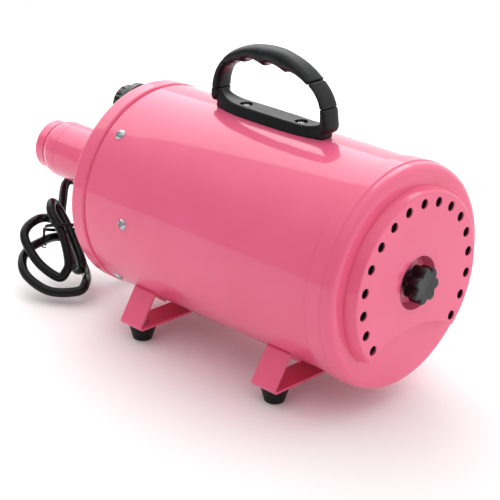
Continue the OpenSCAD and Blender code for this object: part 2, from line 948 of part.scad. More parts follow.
// Flanged ring that the side screws hold; the motor can stands in its collar.
module front_bulkhead() color("lightgray") lift() {
    flange_r = drum_in - slack;
    collar_r = can_r + slack;
    opening_r = can_r - 6;
    difference() {
        turned([[opening_r, bulkhead_x - sheet], [flange_r - sheet, bulkhead_x - sheet],
            [flange_r - sheet, bulkhead_x - 16], [flange_r, bulkhead_x - 16], [flange_r, bulkhead_x],
            [collar_r + sheet, bulkhead_x], [collar_r + sheet, bulkhead_x + 16],
            [collar_r, bulkhead_x + 16], [collar_r, bulkhead_x], [opening_r, bulkhead_x]]);
        for (a = side_screw_angles)
            around(a, side_screw_x, flange_r - 8)
                cylinder(r = screw_r + slack / 2, h = 20, $fn = medium);
        for (side = [-1, 1])
            around(side * bracket_screw_angle, -bracket_gap / 2, flange_r - 8)
                cylinder(r = screw_r + slack / 2, h = 20, $fn = medium);
    }
}

// Flanged ring that the rear bracket's screws hold; it carries the fan's gasket.
module rear_support() color("lightgray") lift() {
    flange_r = drum_in - slack;
    ring_x = bracket_gap / 2 - 7.6;
    opening_r = shell_r + 3;
    difference() {
        turned([[opening_r, ring_x], [flange_r, ring_x], [flange_r, ring_x + 16],
            [flange_r - sheet, ring_x + 16], [flange_r - sheet, ring_x + sheet],
            [opening_r, ring_x + sheet]]);
        for (side = [-1, 1])
            around(side * bracket_screw_angle, bracket_gap / 2, flange_r - 8)
                cylinder(r = screw_r + slack / 2, h = 20, $fn = medium);
    }
}

// Rubber grommet ring between the fan shell and its support.
module fan_gasket() color("dimgray") lift() {
    ring_x = bracket_gap / 2 - 7.6;
    seat_r = shell_r + slack;
    groove_r = shell_r + 3 - slack;
    lip_r = shell_r + 6.5;
    turned([
        [seat_r, ring_x - 5], [lip_r, ring_x - 5],
        [lip_r, ring_x - slack], [groove_r, ring_x - slack],
        [groove_r, ring_x + sheet + slack], [lip_r, ring_x + sheet + slack],
        [lip_r, ring_x + 7], [seat_r, ring_x + 7]
    ]);
}

bearing_r = 11;
bearing_w = 8;
bearing_front_x = can_x0 - 4;
bearing_rear_x = can_x1 - bearing_w;

// Flat sector of a ring; angles in degrees, up to 170 apart.
module sector(r0, r1, a0, a1) {
    reach = 4 * r1;
    middle = (a0 + a1) / 2;
    intersection() {
        difference() {
            circle(r = r1, $fn = fine);
            circle(r = r0, $fn = fine);
        }
        polygon([[0, 0], for (a = [a0, middle, a1]) reach * [cos(a), sin(a)]]);
    }
}

// A flat pattern thickened along X from x0 to x1.
module slab(x0, x1) {
    translate([x0, 0, 0])
        rotate([0, 90, 0])
            linear_extrude(x1 - x0)
                children();
}

// Motor can with a three-armed bearing bridge in front and a vented end plate behind.
module motor_can() color("silver") lift() {
    wall = 1.5;
    hub_r = bearing_r + 2.5;
    arm_w = 8;
    plate_r = shell_r - 1.4;
    difference() {
        union() {
            difference() {
                bar(can_r, can_x0, can_x1, sides = fine);
                bar(can_r - wall, can_x0 - 1, can_x1 - wall, sides = fine);
            }
            bar(plate_r, can_x1, can_x1 + 2, sides = fine);
            bar(hub_r, can_x1 - bearing_w - 0.2, can_x1 + 1);
            bar(hub_r, bearing_front_x, bearing_front_x + bearing_w);
            slab(can_x0, can_x0 + 4)
                for (turn = [0, 120, 240])
                    rotate(turn)
                        translate([hub_r - 1, -arm_w / 2])
                            square([can_r - wall / 2 - hub_r + 1, arm_w]);
        }
        bar(bearing_r + 0.02, bearing_front_x - 1, bearing_front_x + bearing_w + 1);
        bar(bearing_r + 0.02, can_x1 - bearing_w - 1, can_x1);
        bar(shaft_r + 2, can_x1 - 3, can_x1 + 3);
        slab(can_x1 - 2, can_x1 + 3)
            for (i = [0:5])
                sector(hub_r + 3, can_r - 6, i * 60 + 8, i * 60 + 52);
    }
}

coil_angles = [35, 145, 215, 325];

module stator() color("slategray") lift() {
    stack_r = 48;
    bore_r = armature_r + 1;
    slab(-stack_x, stack_x) {
        difference() {
            circle(r = stack_r, $fn = fine);
            circle(r = bore_r, $fn = fine);
            for (a = coil_angles)
                sector(bore_r + 3, 43, a - 9, a + 9);
        }
        for (a = [0:90:270])
            rotate(a)
                translate([stack_r - 1, -5])
                    square([can_r - 2 - stack_r + 1, 10]);
    }
}

// Two field coils, each passing through a pair of slots and across both ends of the stack.
module field_coils() color("peru") lift() {
    r0 = armature_r + 4.2;
    r1 = 42.8;
    end_w = 7;
    for (pair = [0, 1]) {
        first = coil_angles[2 * pair];
        last = coil_angles[2 * pair + 1];
        for (a = [first, last])
            slab(-stack_x - end_w, stack_x + end_w)
                sector(r0, r1, a - 8, a + 8);
        for (x = [-stack_x - end_w, stack_x + 0.3])
            slab(x, x + end_w - 0.3)
                sector(r0, r1, first - 8, last + 8);
    }
}

commutator_r = 13;
brush_x = -44;

module brush_holders() color("gold") lift() {
    tube_w = 10;
    inner_end = commutator_r + 2;
    outer_end = can_r - 2;
    for (side = [-1, 1])
        translate([brush_x - tube_w / 2, side > 0 ? inner_end : -outer_end, -tube_w / 2])
            cube([tube_w, outer_end - inner_end, tube_w]);
    for (side = [-1, 1])
        rotate([side * 90, 0, 0])
            translate([brush_x - 3, -3, -inner_end - 1])
                cube([6, 6, 2 - 0.8]);
}

module ball_bearing(x0) {
    race = 2.2;
    difference() {
        bar(bearing_r, x0, x0 + bearing_w);
        bar(shaft_r + running_gap, x0 - 1, x0 + bearing_w + 1);
        for (x = [x0 - 1, x0 + bearing_w - 0.6])
            slab(x, x + 1.6)
                difference() {
                    circle(r = bearing_r - race, $fn = medium);
                    circle(r = shaft_r + race, $fn = medium);
                }
    }
}

module bearing_front() color("silver") lift() ball_bearing(bearing_front_x);

module bearing_rear() color("silver") lift() ball_bearing(bearing_rear_x - 0.1);

fan_front_x = can_x1 + 6;
fan_rear_x = can_x1 + 26;
fan_w = 12;

module motor_shaft() color("silver") lift() {
    bar(shaft_r, bearing_front_x - 3, shell_x - 1);
    bar(7, fan_rear_x + fan_w + 0.1, fan_rear_x + fan_w + 5, sides = 6);
}

module armature() color("chocolate") lift() {
    slots = 12;
    winding_r = 21;
    difference() {
        union() {
            bar(armature_r, -stack_x, stack_x, sides = fine);
            bar(winding_r, -stack_x - 7, stack_x + 7);
        }
        slab(-stack_x - 1, stack_x + 1)
            for (i = [0:slots - 1])
                rotate(i * 360 / slots)
                    translate([winding_r + 0.8, -1])
                        square([10, 2]);
        bar(shaft_r + 0.01, -stack_x - 10, stack_x + 10);
    }
}

module commutator() color("peru") lift() {
    bars = 24;
    difference() {
        bar(commutator_r, brush_x - 7, brush_x + 8);
        slab(brush_x - 8, brush_x + 5)
            for (i = [0:bars - 1])
                rotate(i * 360 / bars)
                    translate([commutator_r - 1, -0.3])
                        square([3, 0.6]);
        bar(shaft_r + 0.01, brush_x - 10, brush_x + 10);
    }
}

// Closed fan: a back disc, curved blades, a front ring with an eye, and a hub.
module fan(x0, hub_x0, hub_x1) {
    disc_t = 1;
    eye_r = 24;
    hub_r = 9;
    curve_r = 36;
    blade_t = 1.2;
    difference() {
        union() {
            bar(fan_r, x0, x0 + disc_t, sides = fine);
            slab(x0 + fan_w - disc_t - 2, x0 + fan_w - 2)
                difference() {
                    circle(r = fan_r, $fn = fine);
                    circle(r = eye_r, $fn = fine);
                }
            slab(x0 + disc_t / 2, x0 + fan_w - 2 - disc_t / 2)
                intersection() {
                    difference() {
                        circle(r = fan_r - 0.5, $fn = fine);
                        circle(r = eye_r + 1, $fn = fine);
                    }
                    for (i = [0:blade_count - 1])
                        rotate(i * 360 / blade_count)
                            translate([eye_r + 8, curve_r - 8])
                                difference() {
                                    circle(r = curve_r, $fn = fine);
                                    circle(r = curve_r - blade_t, $fn = fine);
                                    translate([-2 * curve_r, -0.2 * curve_r])
                                        square([4 * curve_r, 4 * curve_r]);
                                    translate([-2 * curve_r, -2 * curve_r])
                                        square([2 * curve_r, 4 * curve_r]);
                                }
                }
            bar(hub_r, hub_x0, hub_x1);
        }
        bar(shaft_r + 0.01, hub_x0 - 1, hub_x1 + 1);
    }
}

module fan_front() color("lightgray") lift() fan(fan_front_x, fan_front_x - 2, fan_rear_x - 5);

module fan_rear() color("lightgray") lift() fan(fan_rear_x, fan_rear_x - 4.9, fan_rear_x + fan_w);

// Fixed plate between the fans that turns the air back to the second eye.
module diffuser() color("silver") lift() {
    plate_x = fan_front_x + fan_w + 2;
    plate_r = shell_r - 1.4;
    vanes = 8;
    difference() {
        union() {
            bar(plate_r, plate_x, plate_x + sheet, sides = fine);
            for (i = [0:vanes - 1])
                around(i * 360 / vanes, plate_x - 1.2, 30)
                    translate([-0.6, -0.6, 0])
                        cube([2, 1.2, 34]);
        }
        bar(22, plate_x - 3, plate_x + 3, sides = fine);
    }
}

module fan_shell() color("silver") lift() {
    wall = 1.2;
    turned([[28, shell_x - wall], [shell_r - wall, shell_x - wall], [shell_r - wall, can_x1 + 0.1],
        [shell_r, can_x1 + 0.1], [shell_r, shell_x], [28, shell_x]]);
}

// ---- heater --------------------------------------------------------------

// Sheet funnel that leads the air from the heater to the outlet pipe.
module outlet_funnel() color("silver") lift() {
    wall = 0.8;
    back = bulkhead_x - sheet - 0.1;
    cone_x = front_x + 35;
    turned([[funnel_r - wall, back], [funnel_r + 8, back],
        [funnel_r + 8, back - 1], [funnel_r, back - 1],
        [funnel_r, cone_x], [pipe_r + 1.1, plate_back + 0.3], [pipe_r + 0.3, plate_back + 0.3],
        [funnel_r - wall, cone_x + 0.3]]);
}

coil_r = 46;
coil_wire = 1;
coil_turns = 4;
coil_pitch = 6;
coil_x = front_x + 40;

// Crossed mica plates with a hole wherever the wire passes.
module heater_frame() color("wheat") lift() {
    plate_t = 1.2;
    half = coil_r + 6;
    frame_x0 = coil_x - 5;
    frame_w = coil_turns * coil_pitch + 10;
    difference() {
        union() {
            translate([frame_x0, -half, -plate_t / 2])
                cube([frame_w, 2 * half, plate_t]);
            translate([frame_x0, -plate_t / 2, -half])
                cube([frame_w, plate_t, 2 * half]);
        }
        for (i = [0:4 * coil_turns])
            around(i * 90, coil_x + i * coil_pitch / 4, coil_r)
                rotate([90, 0, 0])
                    cylinder(r = coil_wire + 0.8, h = 6, center = true, $fn = medium);
    }
}

module heater_coil() color("dimgray") lift() {
    ring = 6;
    per_turn = 24;
    count = coil_turns * per_turn + 1;
    spread = 3;
    points = [for (i = [0:count - 1], k = [0:ring - 1])
        let (a = -360 * i / per_turn - spread * (i == 0 ? -1 : i == count - 1 ? 1 : 0),
            b = 360 * k / ring, r = coil_r + coil_wire * cos(b))
            [coil_x + coil_pitch * i / per_turn + coil_wire * sin(b), r * sin(a), r * cos(a)]];
    polyhedron(points, rod_faces(count, ring));
}

// Speed control board on four posts below the motor.
module control_board() color("darkgreen") lift() {
    board_z = -74;
    half_len = 40;
    half_w = 22;
    difference() {
        union() {
            translate([-half_len, -half_w, board_z])
                cube([2 * half_len, 2 * half_w, 1.6]);
            for (x = [-1, 1], y = [-1, 1])
                translate([x * (half_len - 5), y * (half_w - 5), -86])
                    cylinder(r = 3, h = 86 + board_z + 0.5, $fn = medium);
            translate([-30, -14, board_z + 1])
                cube([22, 28, 12]);
            translate([12, 0, board_z + 1])
                cylinder(r = 8, h = 13, $fn = medium);
            translate([24, -12, board_z + 1])
                cube([8, 24, 9]);
        }
        for (i = [0:3])
            translate([-27.5 + i * 5, -15, board_z + 5])
                cube([2.4, 30, 20]);
    }
}

// ---- drawing --------------------------------------------------------------

body_tube();
front_cap();
front_cap_screws();
side_screws();
rear_cap();
intake_cover();
filter_foam();
cover_stud();
knob_washer();
cover_knob();
outlet_pipe();
hose_collar();
outlet_screws();
speed_knob();
speed_pot();
pot_shaft();
pot_nut();
power_switch();
power_rocker();
heat_switch();
heat_rocker();
strain_relief();
power_cord();
cord_tie();
mains_plug();
plug_pins();
handle_base();
handle_arch();
grip_sleeve();
handle_screws();
handle_nuts();
foot_bracket_front();
foot_bracket_rear();
bracket_screws();
foot_front_left();
foot_front_right();
foot_rear_left();
foot_rear_right();
foot_bolts();
foot_nuts();
front_bulkhead();
rear_support();
fan_gasket();
motor_can();
stator();
field_coils();
brush_holders();
bearing_front();
bearing_rear();
motor_shaft();
armature();
commutator();
fan_rear();
fan_front();
diffuser();
fan_shell();
outlet_funnel();
heater_frame();
heater_coil();
control_board();
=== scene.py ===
import json
from math import copysign, cos, dist, pi, radians, sin, sqrt

import bmesh
import bpy
from mathutils import Matrix, Vector

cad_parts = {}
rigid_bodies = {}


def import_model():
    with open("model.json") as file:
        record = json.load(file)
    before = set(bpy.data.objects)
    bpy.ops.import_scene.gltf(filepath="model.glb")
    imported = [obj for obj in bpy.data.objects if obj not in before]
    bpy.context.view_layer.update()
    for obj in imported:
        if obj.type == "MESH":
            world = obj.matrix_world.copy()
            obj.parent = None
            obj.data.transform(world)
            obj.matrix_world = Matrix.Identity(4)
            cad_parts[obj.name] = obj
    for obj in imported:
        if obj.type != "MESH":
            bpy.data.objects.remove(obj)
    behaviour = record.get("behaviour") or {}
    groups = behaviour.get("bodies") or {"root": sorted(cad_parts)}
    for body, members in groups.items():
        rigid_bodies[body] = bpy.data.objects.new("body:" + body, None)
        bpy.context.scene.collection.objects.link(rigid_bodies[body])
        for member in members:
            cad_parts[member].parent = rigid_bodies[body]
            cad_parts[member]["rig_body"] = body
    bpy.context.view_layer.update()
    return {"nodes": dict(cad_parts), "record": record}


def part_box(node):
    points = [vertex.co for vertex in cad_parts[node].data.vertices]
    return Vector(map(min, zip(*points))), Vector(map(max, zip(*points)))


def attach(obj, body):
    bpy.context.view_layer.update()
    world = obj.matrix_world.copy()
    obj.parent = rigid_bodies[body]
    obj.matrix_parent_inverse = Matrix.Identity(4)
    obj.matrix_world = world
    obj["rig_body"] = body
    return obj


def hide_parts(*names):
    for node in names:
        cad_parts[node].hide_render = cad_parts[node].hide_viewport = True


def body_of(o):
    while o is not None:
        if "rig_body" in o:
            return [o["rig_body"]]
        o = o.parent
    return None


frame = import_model()

scene = bpy.context.scene
nodes = frame["nodes"]
MM = 0.001
HOUSING = "housing"

# ---- places taken from the frame ------------------------------------------------

drum_low, drum_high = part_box("body_tube")
AXIS_Z = (drum_low.z + drum_high.z) / 2
DRUM_R = (drum_high.z - drum_low.z) / 2
# Face of the front panel, which the cord's boot stands 25 mm out of.
FRONT_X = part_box("strain_relief")[0].x + 25 * MM
MIDDLE_X = (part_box("foot_bracket_front")[0].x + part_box("foot_bracket_rear")[1].x) / 2
HANDLE_X = (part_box("handle_base")[0].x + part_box("handle_base")[1].x) / 2


def about_axis(x, y, z):
    """A point given in millimetres from the drum's axis, with x from the middle of the brackets."""
    return Vector((MIDDLE_X + x * MM, y * MM, AXIS_Z + z * MM))


# ---- material helpers -----------------------------------------------------------


class Look:
    """A node material that is built up a step at a time."""

    def __init__(self, name, colour, roughness, metallic=0.0):
        self.material = bpy.data.materials.new(name)
        self.material.use_nodes = True
        self.tree = self.material.node_tree
        self.surface = self.tree.nodes["Principled BSDF"]
        self.colour = tuple(colour) + (1.0,)
        self.set("Base Color", self.colour)
        self.set("Roughness", roughness)
        self.set("Metallic", metallic)
        self.place = self.add("ShaderNodeTexCoord").outputs["Object"]
        self.normal = None

    def add(self, kind, **settings):
        made = self.tree.nodes.new(kind)
        for key, value in settings.items():
            setattr(made, key, value)
        return made

    def link(self, source, target):
        self.tree.links.new(source, target)

    def set(self, name, value):
        self.surface.inputs[name].default_value = value

    def stretched(self, scale):
        """The object's own coordinates, scaled along each axis."""
        mapping = self.add("ShaderNodeMapping")
        mapping.inputs["Scale"].default_value = scale
        self.link(self.place, mapping.inputs["Vector"])
        return mapping.outputs["Vector"]

    def noise(self, size_mm, detail, roughness=0.55, stretch=(1, 1, 1)):
        """Cloudy noise whose features are about size_mm across."""
        made = self.add("ShaderNodeTexNoise")
        made.inputs["Scale"].default_value = 1.0
        made.inputs["Detail"].default_value = detail
        made.inputs["Roughness"].default_value = roughness
        per_m = 1000.0 / size_mm
        self.link(self.stretched([per_m * s for s in stretch]), made.inputs["Vector"])
        return made.outputs["Fac"]

    def cells(self, size_mm, feature="F1"):
        made = self.add("ShaderNodeTexVoronoi", feature=feature)
        made.inputs["Scale"].default_value = 1000.0 / size_mm
        self.link(self.place, made.inputs["Vector"])
        return made.outputs["Distance"]

    def bands(self, size_mm, axis):
        """Even stripes across an axis, such as stacked sheets or wound wire."""
        stripe_at_scale_one = 0.314
        made = self.add("ShaderNodeTexWave", bands_direction=axis)
        made.inputs["Scale"].default_value = 1000.0 / size_mm * stripe_at_scale_one
        made.inputs["Distortion"].default_value = 0.0
        self.link(self.place, made.inputs["Vector"])
        return made.outputs["Fac"]

    def spread(self, source, low, high, low_in=0.3, high_in=0.7):
        """Remaps a grey value to low..high."""
        made = self.add("ShaderNodeMapRange")
        made.inputs["From Min"].default_value = low_in
        made.inputs["From Max"].default_value = high_in
        made.inputs["To Min"].default_value = low
        made.inputs["To Max"].default_value = high
        self.link(source, made.inputs["Value"])
        return made.outputs["Result"]

    def tint(self, source, other):
        """Mixes the base colour towards another colour where source is high."""
        # Inputs 6 and 7 of a mix node are its two colours, and output 2 is the mixed one.
        made = self.add("ShaderNodeMix", data_type="RGBA")
        current = self.surface.inputs["Base Color"]
        if current.is_linked:
            self.link(current.links[0].from_socket, made.inputs[6])
        else:
            made.inputs[6].default_value = self.colour
        made.inputs[7].default_value = tuple(other) + (1.0,)
        self.link(source, made.inputs[0])
        self.link(made.outputs[2], current)

    def vary(self, name, source):
        self.link(source, self.surface.inputs[name])

    def soften_edges(self, radius_mm):
        """Rounds the shading of sharp edges, as a real moulded or painted edge is round."""
        made = self.add("ShaderNodeBevel", samples=4)
        made.inputs["Radius"].default_value = radius_mm * MM
        self.normal = made.outputs["Normal"]

    def bump(self, source, depth_mm):
        made = self.add("ShaderNodeBump")
        made.inputs["Strength"].default_value = 1.0
        made.inputs["Distance"].default_value = depth_mm * MM
        self.link(source, made.inputs["Height"])
        if self.normal is not None:
            self.link(self.normal, made.inputs["Normal"])
        self.normal = made.outputs["Normal"]

    def edge_wear(self, radius_mm, colour, amount):
        """Lightens the colour where an edge is sharp."""
        bevel = self.add("ShaderNodeBevel", samples=4)
        bevel.inputs["Radius"].default_value = radius_mm * MM
        flat = self.add("ShaderNodeNewGeometry")
        dot = self.add("ShaderNodeVectorMath", operation="DOT_PRODUCT")
        self.link(bevel.outputs["Normal"], dot.inputs[0])
        self.link(flat.outputs["Normal"], dot.inputs[1])
        self.tint(self.spread(dot.outputs["Value"], amount, 0.0, 0.75, 0.99), colour)

    def done(self):
        if self.normal is not None:
            self.link(self.normal, self.surface.inputs["Normal"])
        return self.material


PINK = (0.86, 0.130, 0.255)
PINK_DEEP = (0.80, 0.092, 0.200)
PINK_PALE = (0.95, 0.30, 0.42)


def pink_paint():
    """Glossy powder coat: fine orange peel, slightly uneven colour, paler on sharp edges."""
    look = Look("pink_paint", PINK, 0.34)
    look.tint(look.spread(look.noise(60, 2.0), 0.0, 0.35), PINK_DEEP)
    look.edge_wear(0.7, PINK_PALE, 0.45)
    look.vary("Roughness", look.spread(look.noise(9, 4.0), 0.30, 0.40))
    look.set("Specular IOR Level", 0.12)
    look.set("Coat Weight", 0.75)
    look.set("Coat IOR", 1.5)
    look.vary("Coat Roughness", look.spread(look.noise(35, 5.0), 0.03, 0.07))
    look.soften_edges(0.6)
    look.bump(look.noise(2.4, 1.0), 0.012)
    look.bump(look.noise(0.5, 2.0), 0.002)
    return look.done()


def moulded_black(name, colour, rough, grain_mm, depth_mm, coat=0.0):
    """Moulded plastic or rubber with a spark-eroded grain and handled, uneven gloss."""
    look = Look(name, colour, rough)
    paler = tuple(min(1.0, c * 2.6 + 0.004) for c in colour)
    look.tint(look.spread(look.noise(14, 5.0), 0.0, 0.30), paler)
    look.edge_wear(0.5, tuple(c * 4 + 0.01 for c in colour), 0.5)
    look.vary("Roughness", look.spread(look.noise(7, 5.0), rough - 0.06, rough + 0.07))
    look.soften_edges(0.5)
    look.bump(look.noise(grain_mm, 2.0, 0.6), depth_mm)
    look.set("Specular IOR Level", 0.22)
    if coat:
        look.set("Coat Weight", coat)
        look.set("Coat Roughness", 0.18)
    return look.done()


def metal(name, colour, rough, scratch=(1, 1, 1), depth_mm=0.006, stain=None):
    """Bare or plated metal with brushed or tumbled scratches."""
    look = Look(name, colour, rough, metallic=1.0)
    streaks = look.noise(1.6, 6.0, 0.7, stretch=scratch)
    look.vary("Roughness", look.spread(streaks, rough - 0.05, rough + 0.12))
    look.tint(look.spread(look.noise(6, 4.0), 0.0, 0.4), stain or tuple(c * 0.78 for c in colour))
    look.soften_edges(0.25)
    look.bump(streaks, depth_mm)
    return look.done()


def laminated():
    """Stacked electrical steel: thin sheets across the shaft with varnish between them."""
    look = Look("lamination", (0.16, 0.165, 0.175), 0.42, metallic=0.85)
    sheets = look.bands(0.8, "X")
    look.tint(look.spread(sheets, 0.0, 0.7, 0.2, 0.8), (0.05, 0.035, 0.03))
    look.vary("Roughness", look.spread(look.noise(4, 4.0), 0.34, 0.55))
    look.bump(sheets, 0.08)
    return look.done()


def winding():
    """Enamelled copper wire laid side by side, with painted shade in the grooves between the wires."""
    look = Look("copper", (0.72, 0.27, 0.11), 0.28, metallic=0.9)
    wires = look.bands(0.9, "DIAGONAL")
    # Painted shade: darker copper in the grooves between the wires, where shade falls.
    look.tint(look.spread(wires, 0.55, 0.0, 0.1, 0.6), (0.16, 0.045, 0.02))
    look.vary("Roughness", look.spread(look.noise(3, 4.0), 0.22, 0.4))
    look.bump(wires, 0.25)
    return look.done()


def mica_board():
    look = Look("mica", (0.52, 0.47, 0.37), 0.5)
    flakes = look.cells(3.0)
    look.tint(look.spread(flakes, 0.0, 0.55, 0.0, 0.6), (0.30, 0.24, 0.16))
    look.vary("Roughness", look.spread(look.noise(5, 4.0), 0.35, 0.6))
    look.bump(flakes, 0.05)
    return look.done()


def heater_wire():
    look = Look("heater_wire", (0.20, 0.18, 0.17), 0.5, metallic=0.8)
    look.tint(look.spread(look.noise(5, 4.0), 0.0, 0.6), (0.10, 0.11, 0.15))
    look.vary("Roughness", look.spread(look.noise(2, 4.0), 0.4, 0.65))
    look.bump(look.noise(0.6, 3.0), 0.03)
    return look.done()


def circuit_board():
    look = Look("circuit_board", (0.02, 0.14, 0.05), 0.3)
    tracks = look.cells(4.0, "DISTANCE_TO_EDGE")
    look.tint(look.spread(tracks, 0.7, 0.0, 0.02, 0.09), (0.05, 0.27, 0.10))
    look.vary("Roughness", look.spread(look.noise(6, 3.0), 0.22, 0.42))
    look.bump(tracks, 0.05)
    return look.done()


def open_foam():
    """Reticulated foam: fine struts, with the pores between them painted darker as painted shade."""
    look = Look("filter_foam", (0.004, 0.0035, 0.0038), 0.85)
    look.set("Specular IOR Level", 0.1)
    pores = look.cells(1.6, "DISTANCE_TO_EDGE")
    # Painted shade: the pores are darker than the struts, standing in for the shade that falls inside
    # them.
    look.tint(look.spread(pores, 0.75, 0.0, 0.04, 0.22), (0.016, 0.014, 0.015))
    look.vary("Roughness", look.spread(look.noise(3, 3.0), 0.75, 0.95))
    look.bump(pores, 0.5)
    return look.done()


def printed_mark():
    look = Look("printed_mark", (0.82, 0.82, 0.80), 0.5)
    look.tint(look.spread(look.noise(0.7, 4.0), 0.0, 0.5, 0.5, 0.8), (0.6, 0.58, 0.57))
    look.vary("Roughness", look.spread(look.noise(2, 3.0), 0.42, 0.6))
    look.bump(look.noise(0.3, 2.0), 0.01)
    return look.done()


paint = pink_paint()
handle_plastic = moulded_black("handle_plastic", (0.0050, 0.0056, 0.0064), 0.30, 0.5, 0.035)
grip_rubber = moulded_black("grip_rubber", (0.0060, 0.0068, 0.0080), 0.32, 0.35, 0.03)
knob_plastic = moulded_black("knob_plastic", (0.0030, 0.0034, 0.0036), 0.16, 0.9, 0.006, coat=0.3)
switch_plastic = moulded_black("switch_plastic", (0.007, 0.007, 0.008), 0.34, 0.6, 0.02)
foot_rubber = moulded_black("foot_rubber", (0.005, 0.005, 0.0055), 0.52, 0.6, 0.04)
cord_sheath = moulded_black("cord_sheath", (0.0030, 0.0033, 0.0038), 0.20, 1.1, 0.03)
red_plastic = moulded_black("red_plastic", (0.50, 0.020, 0.020), 0.25, 0.7, 0.01, coat=0.6)
chrome = metal("chrome", (0.50, 0.51, 0.53), 0.14)
zinc = metal("zinc_steel", (0.60, 0.61, 0.63), 0.34, scratch=(1, 1, 0.2), depth_mm=0.012)
pressed_steel = metal("motor_steel", (0.50, 0.51, 0.53), 0.36, scratch=(0.1, 1, 1), depth_mm=0.02)
ground_steel = metal("bearing_steel", (0.66, 0.66, 0.68), 0.18, scratch=(0.15, 1, 1), depth_mm=0.004)
fan_alloy = metal("fan_alloy", (0.70, 0.71, 0.73), 0.30, scratch=(1, 0.2, 1), depth_mm=0.015)
brass = metal("brass", (0.78, 0.57, 0.22), 0.24, stain=(0.42, 0.27, 0.10))
lamination = laminated()
copper = winding()
mica = mica_board()
wire = heater_wire()
board = circuit_board()
foam = open_foam()
white_print = printed_mark()

LOOKS = {
    "pink_paint": paint,
    "chrome": chrome,
    "zinc_steel": zinc,
    "filter_foam": foam,
    "black_plastic": switch_plastic,
    "red_plastic": red_plastic,
    "black_rubber": foot_rubber,
    "cord_sheath": cord_sheath,
    "brass": brass,
    "motor_steel": pressed_steel,
    "bearing_steel": ground_steel,
    "lamination": lamination,
    "copper": copper,
    "fan_alloy": fan_alloy,
    "mica": mica,
    "heater_wire": wire,
    "circuit_board": board,
}
SPECIAL = {"speed_knob": knob_plastic}

for part in frame["record"]["subparts"]:
    look = SPECIAL.get(part["node"], LOOKS[part["material_slot"]])
    nodes[part["node"]].data.materials.clear()
    nodes[part["node"]].data.materials.append(look)

# ---- mesh helpers ---------------------------------------------------------------


def point_outward(mesh):
    """Turns every face's normal to the outside."""
    editable = bmesh.new()
    editable.from_mesh(mesh)
    bmesh.ops.recalc_face_normals(editable, faces=editable.faces)
    editable.to_mesh(mesh)
    editable.free()


def bare(name, verts, faces):
    """A mesh object that isn't a finished piece, such as a cutter."""
    mesh = bpy.data.meshes.new(name)
    mesh.from_pydata([tuple(v) for v in verts], [], faces)
    point_outward(mesh)
    made = bpy.data.objects.new(name, mesh)
    scene.collection.objects.link(made)
    return made


def finish_piece(made, body, material, stands_for=(), sharp=35):
    """Makes an object a piece that rides on a body; edges sharper than sharp degrees stay crisp."""
    mesh = made.data
    point_outward(mesh)
    mesh.polygons.foreach_set("use_smooth", [True] * len(mesh.polygons))
    mesh.set_sharp_from_angle(angle=radians(sharp))
    mesh.materials.clear()
    mesh.materials.append(material)
    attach(made, body)
    if stands_for:
        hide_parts(*stands_for)


def piece(name, verts, faces, body, material, stands_for=(), sharp=35):
    finish_piece(bare(name, verts, faces), body, material, stands_for, sharp)


def loft(rings, ends="capped"):
    """A skin over closed rings of equal length; the ends are capped, open or joined to each other."""
    count = len(rings[0])
    total = len(rings) * count
    verts = [point for ring in rings for point in ring]
    faces = []
    for i in range(len(rings) if ends == "joined" else len(rings) - 1):
        for k in range(count):
            a = i * count + k
            b = i * count + (k + 1) % count
            faces.append((a, b, (b + count) % total, (a + count) % total))
    if ends == "capped":
        faces.append(tuple(reversed(range(count))))
        faces.append(tuple(range(total - count, total)))
    return verts, faces


def joined(parts):
    """One mesh from several (verts, faces) pairs."""
    verts, faces = [], []
    for part_verts, part_faces in parts:
        start = len(verts)
        verts.extend(part_verts)
        faces.extend(tuple(start + i for i in face) for face in part_faces)
    return verts, faces


def smooth_line(points, steps):
    """A Catmull-Rom curve through the points, with steps parts between each two of them."""
    line = []
    last = len(points) - 1
    for i in range(last):
        a, b = points[max(i - 1, 0)], points[i]
        c, d = points[i + 1], points[min(i + 2, last)]
        for k in range(steps):
            t = k / steps
            line.append(
                b + 0.5 * t * (c - a + t * (2 * a - 5 * b + 4 * c - d + t * (3 * b - a - 3 * c + d)))
            )
    return line + [points[last]]


def along(line):
    """Two directions across a line at each of its points, carried along without twist."""
    frames = []
    side = Vector((0, 0, 1))
    for i in range(len(line)):
        heading = (line[min(i + 1, len(line) - 1)] - line[max(i - 1, 0)]).normalized()
        side = (side - heading * side.dot(heading)).normalized()
        frames.append((side, heading.cross(side)))
    return frames


def tube(line, radius, sides):
    """A round rod along a line."""
    angles = [2 * pi * k / sides for k in range(sides)]
    rings = []
    for point, (side, up) in zip(line, along(line)):
        rings.append([point + radius * (cos(a) * side + sin(a) * up) for a in angles])
    return loft(rings)


def turned(profile, start, axis, up, sides):
    """A turned solid; profile is (distance along the axis, radius) pairs in mm from start."""
    axis, up = Vector(axis), Vector(up)
    side = axis.cross(up)
    angles = [2 * pi * k / sides for k in range(sides)]
    rings = []
    for x, r in profile:
        centre = start + axis * x * MM
        rings.append([centre + r * MM * (cos(a) * side + sin(a) * up) for a in angles])
    return loft(rings)


def shaped(made, steps):
    """Applies modifiers in order; each step is a type and its settings."""
    for kind, settings in steps:
        modifier = made.modifiers.new(kind.lower(), kind)
        for key, value in settings.items():
            setattr(modifier, key, value)
    bpy.context.view_layer.update()
    result = made.evaluated_get(bpy.context.evaluated_depsgraph_get())
    mesh = bpy.data.meshes.new_from_object(result)
    made.modifiers.clear()
    made.data = mesh


def cuts(cutters):
    """The steps that take each cutter away, for shaped()."""
    return [("BOOLEAN", {"operation": "DIFFERENCE", "object": cutter}) for cutter in cutters]


def remove(objects):
    for item in objects:
        bpy.data.objects.remove(item, do_unlink=True)


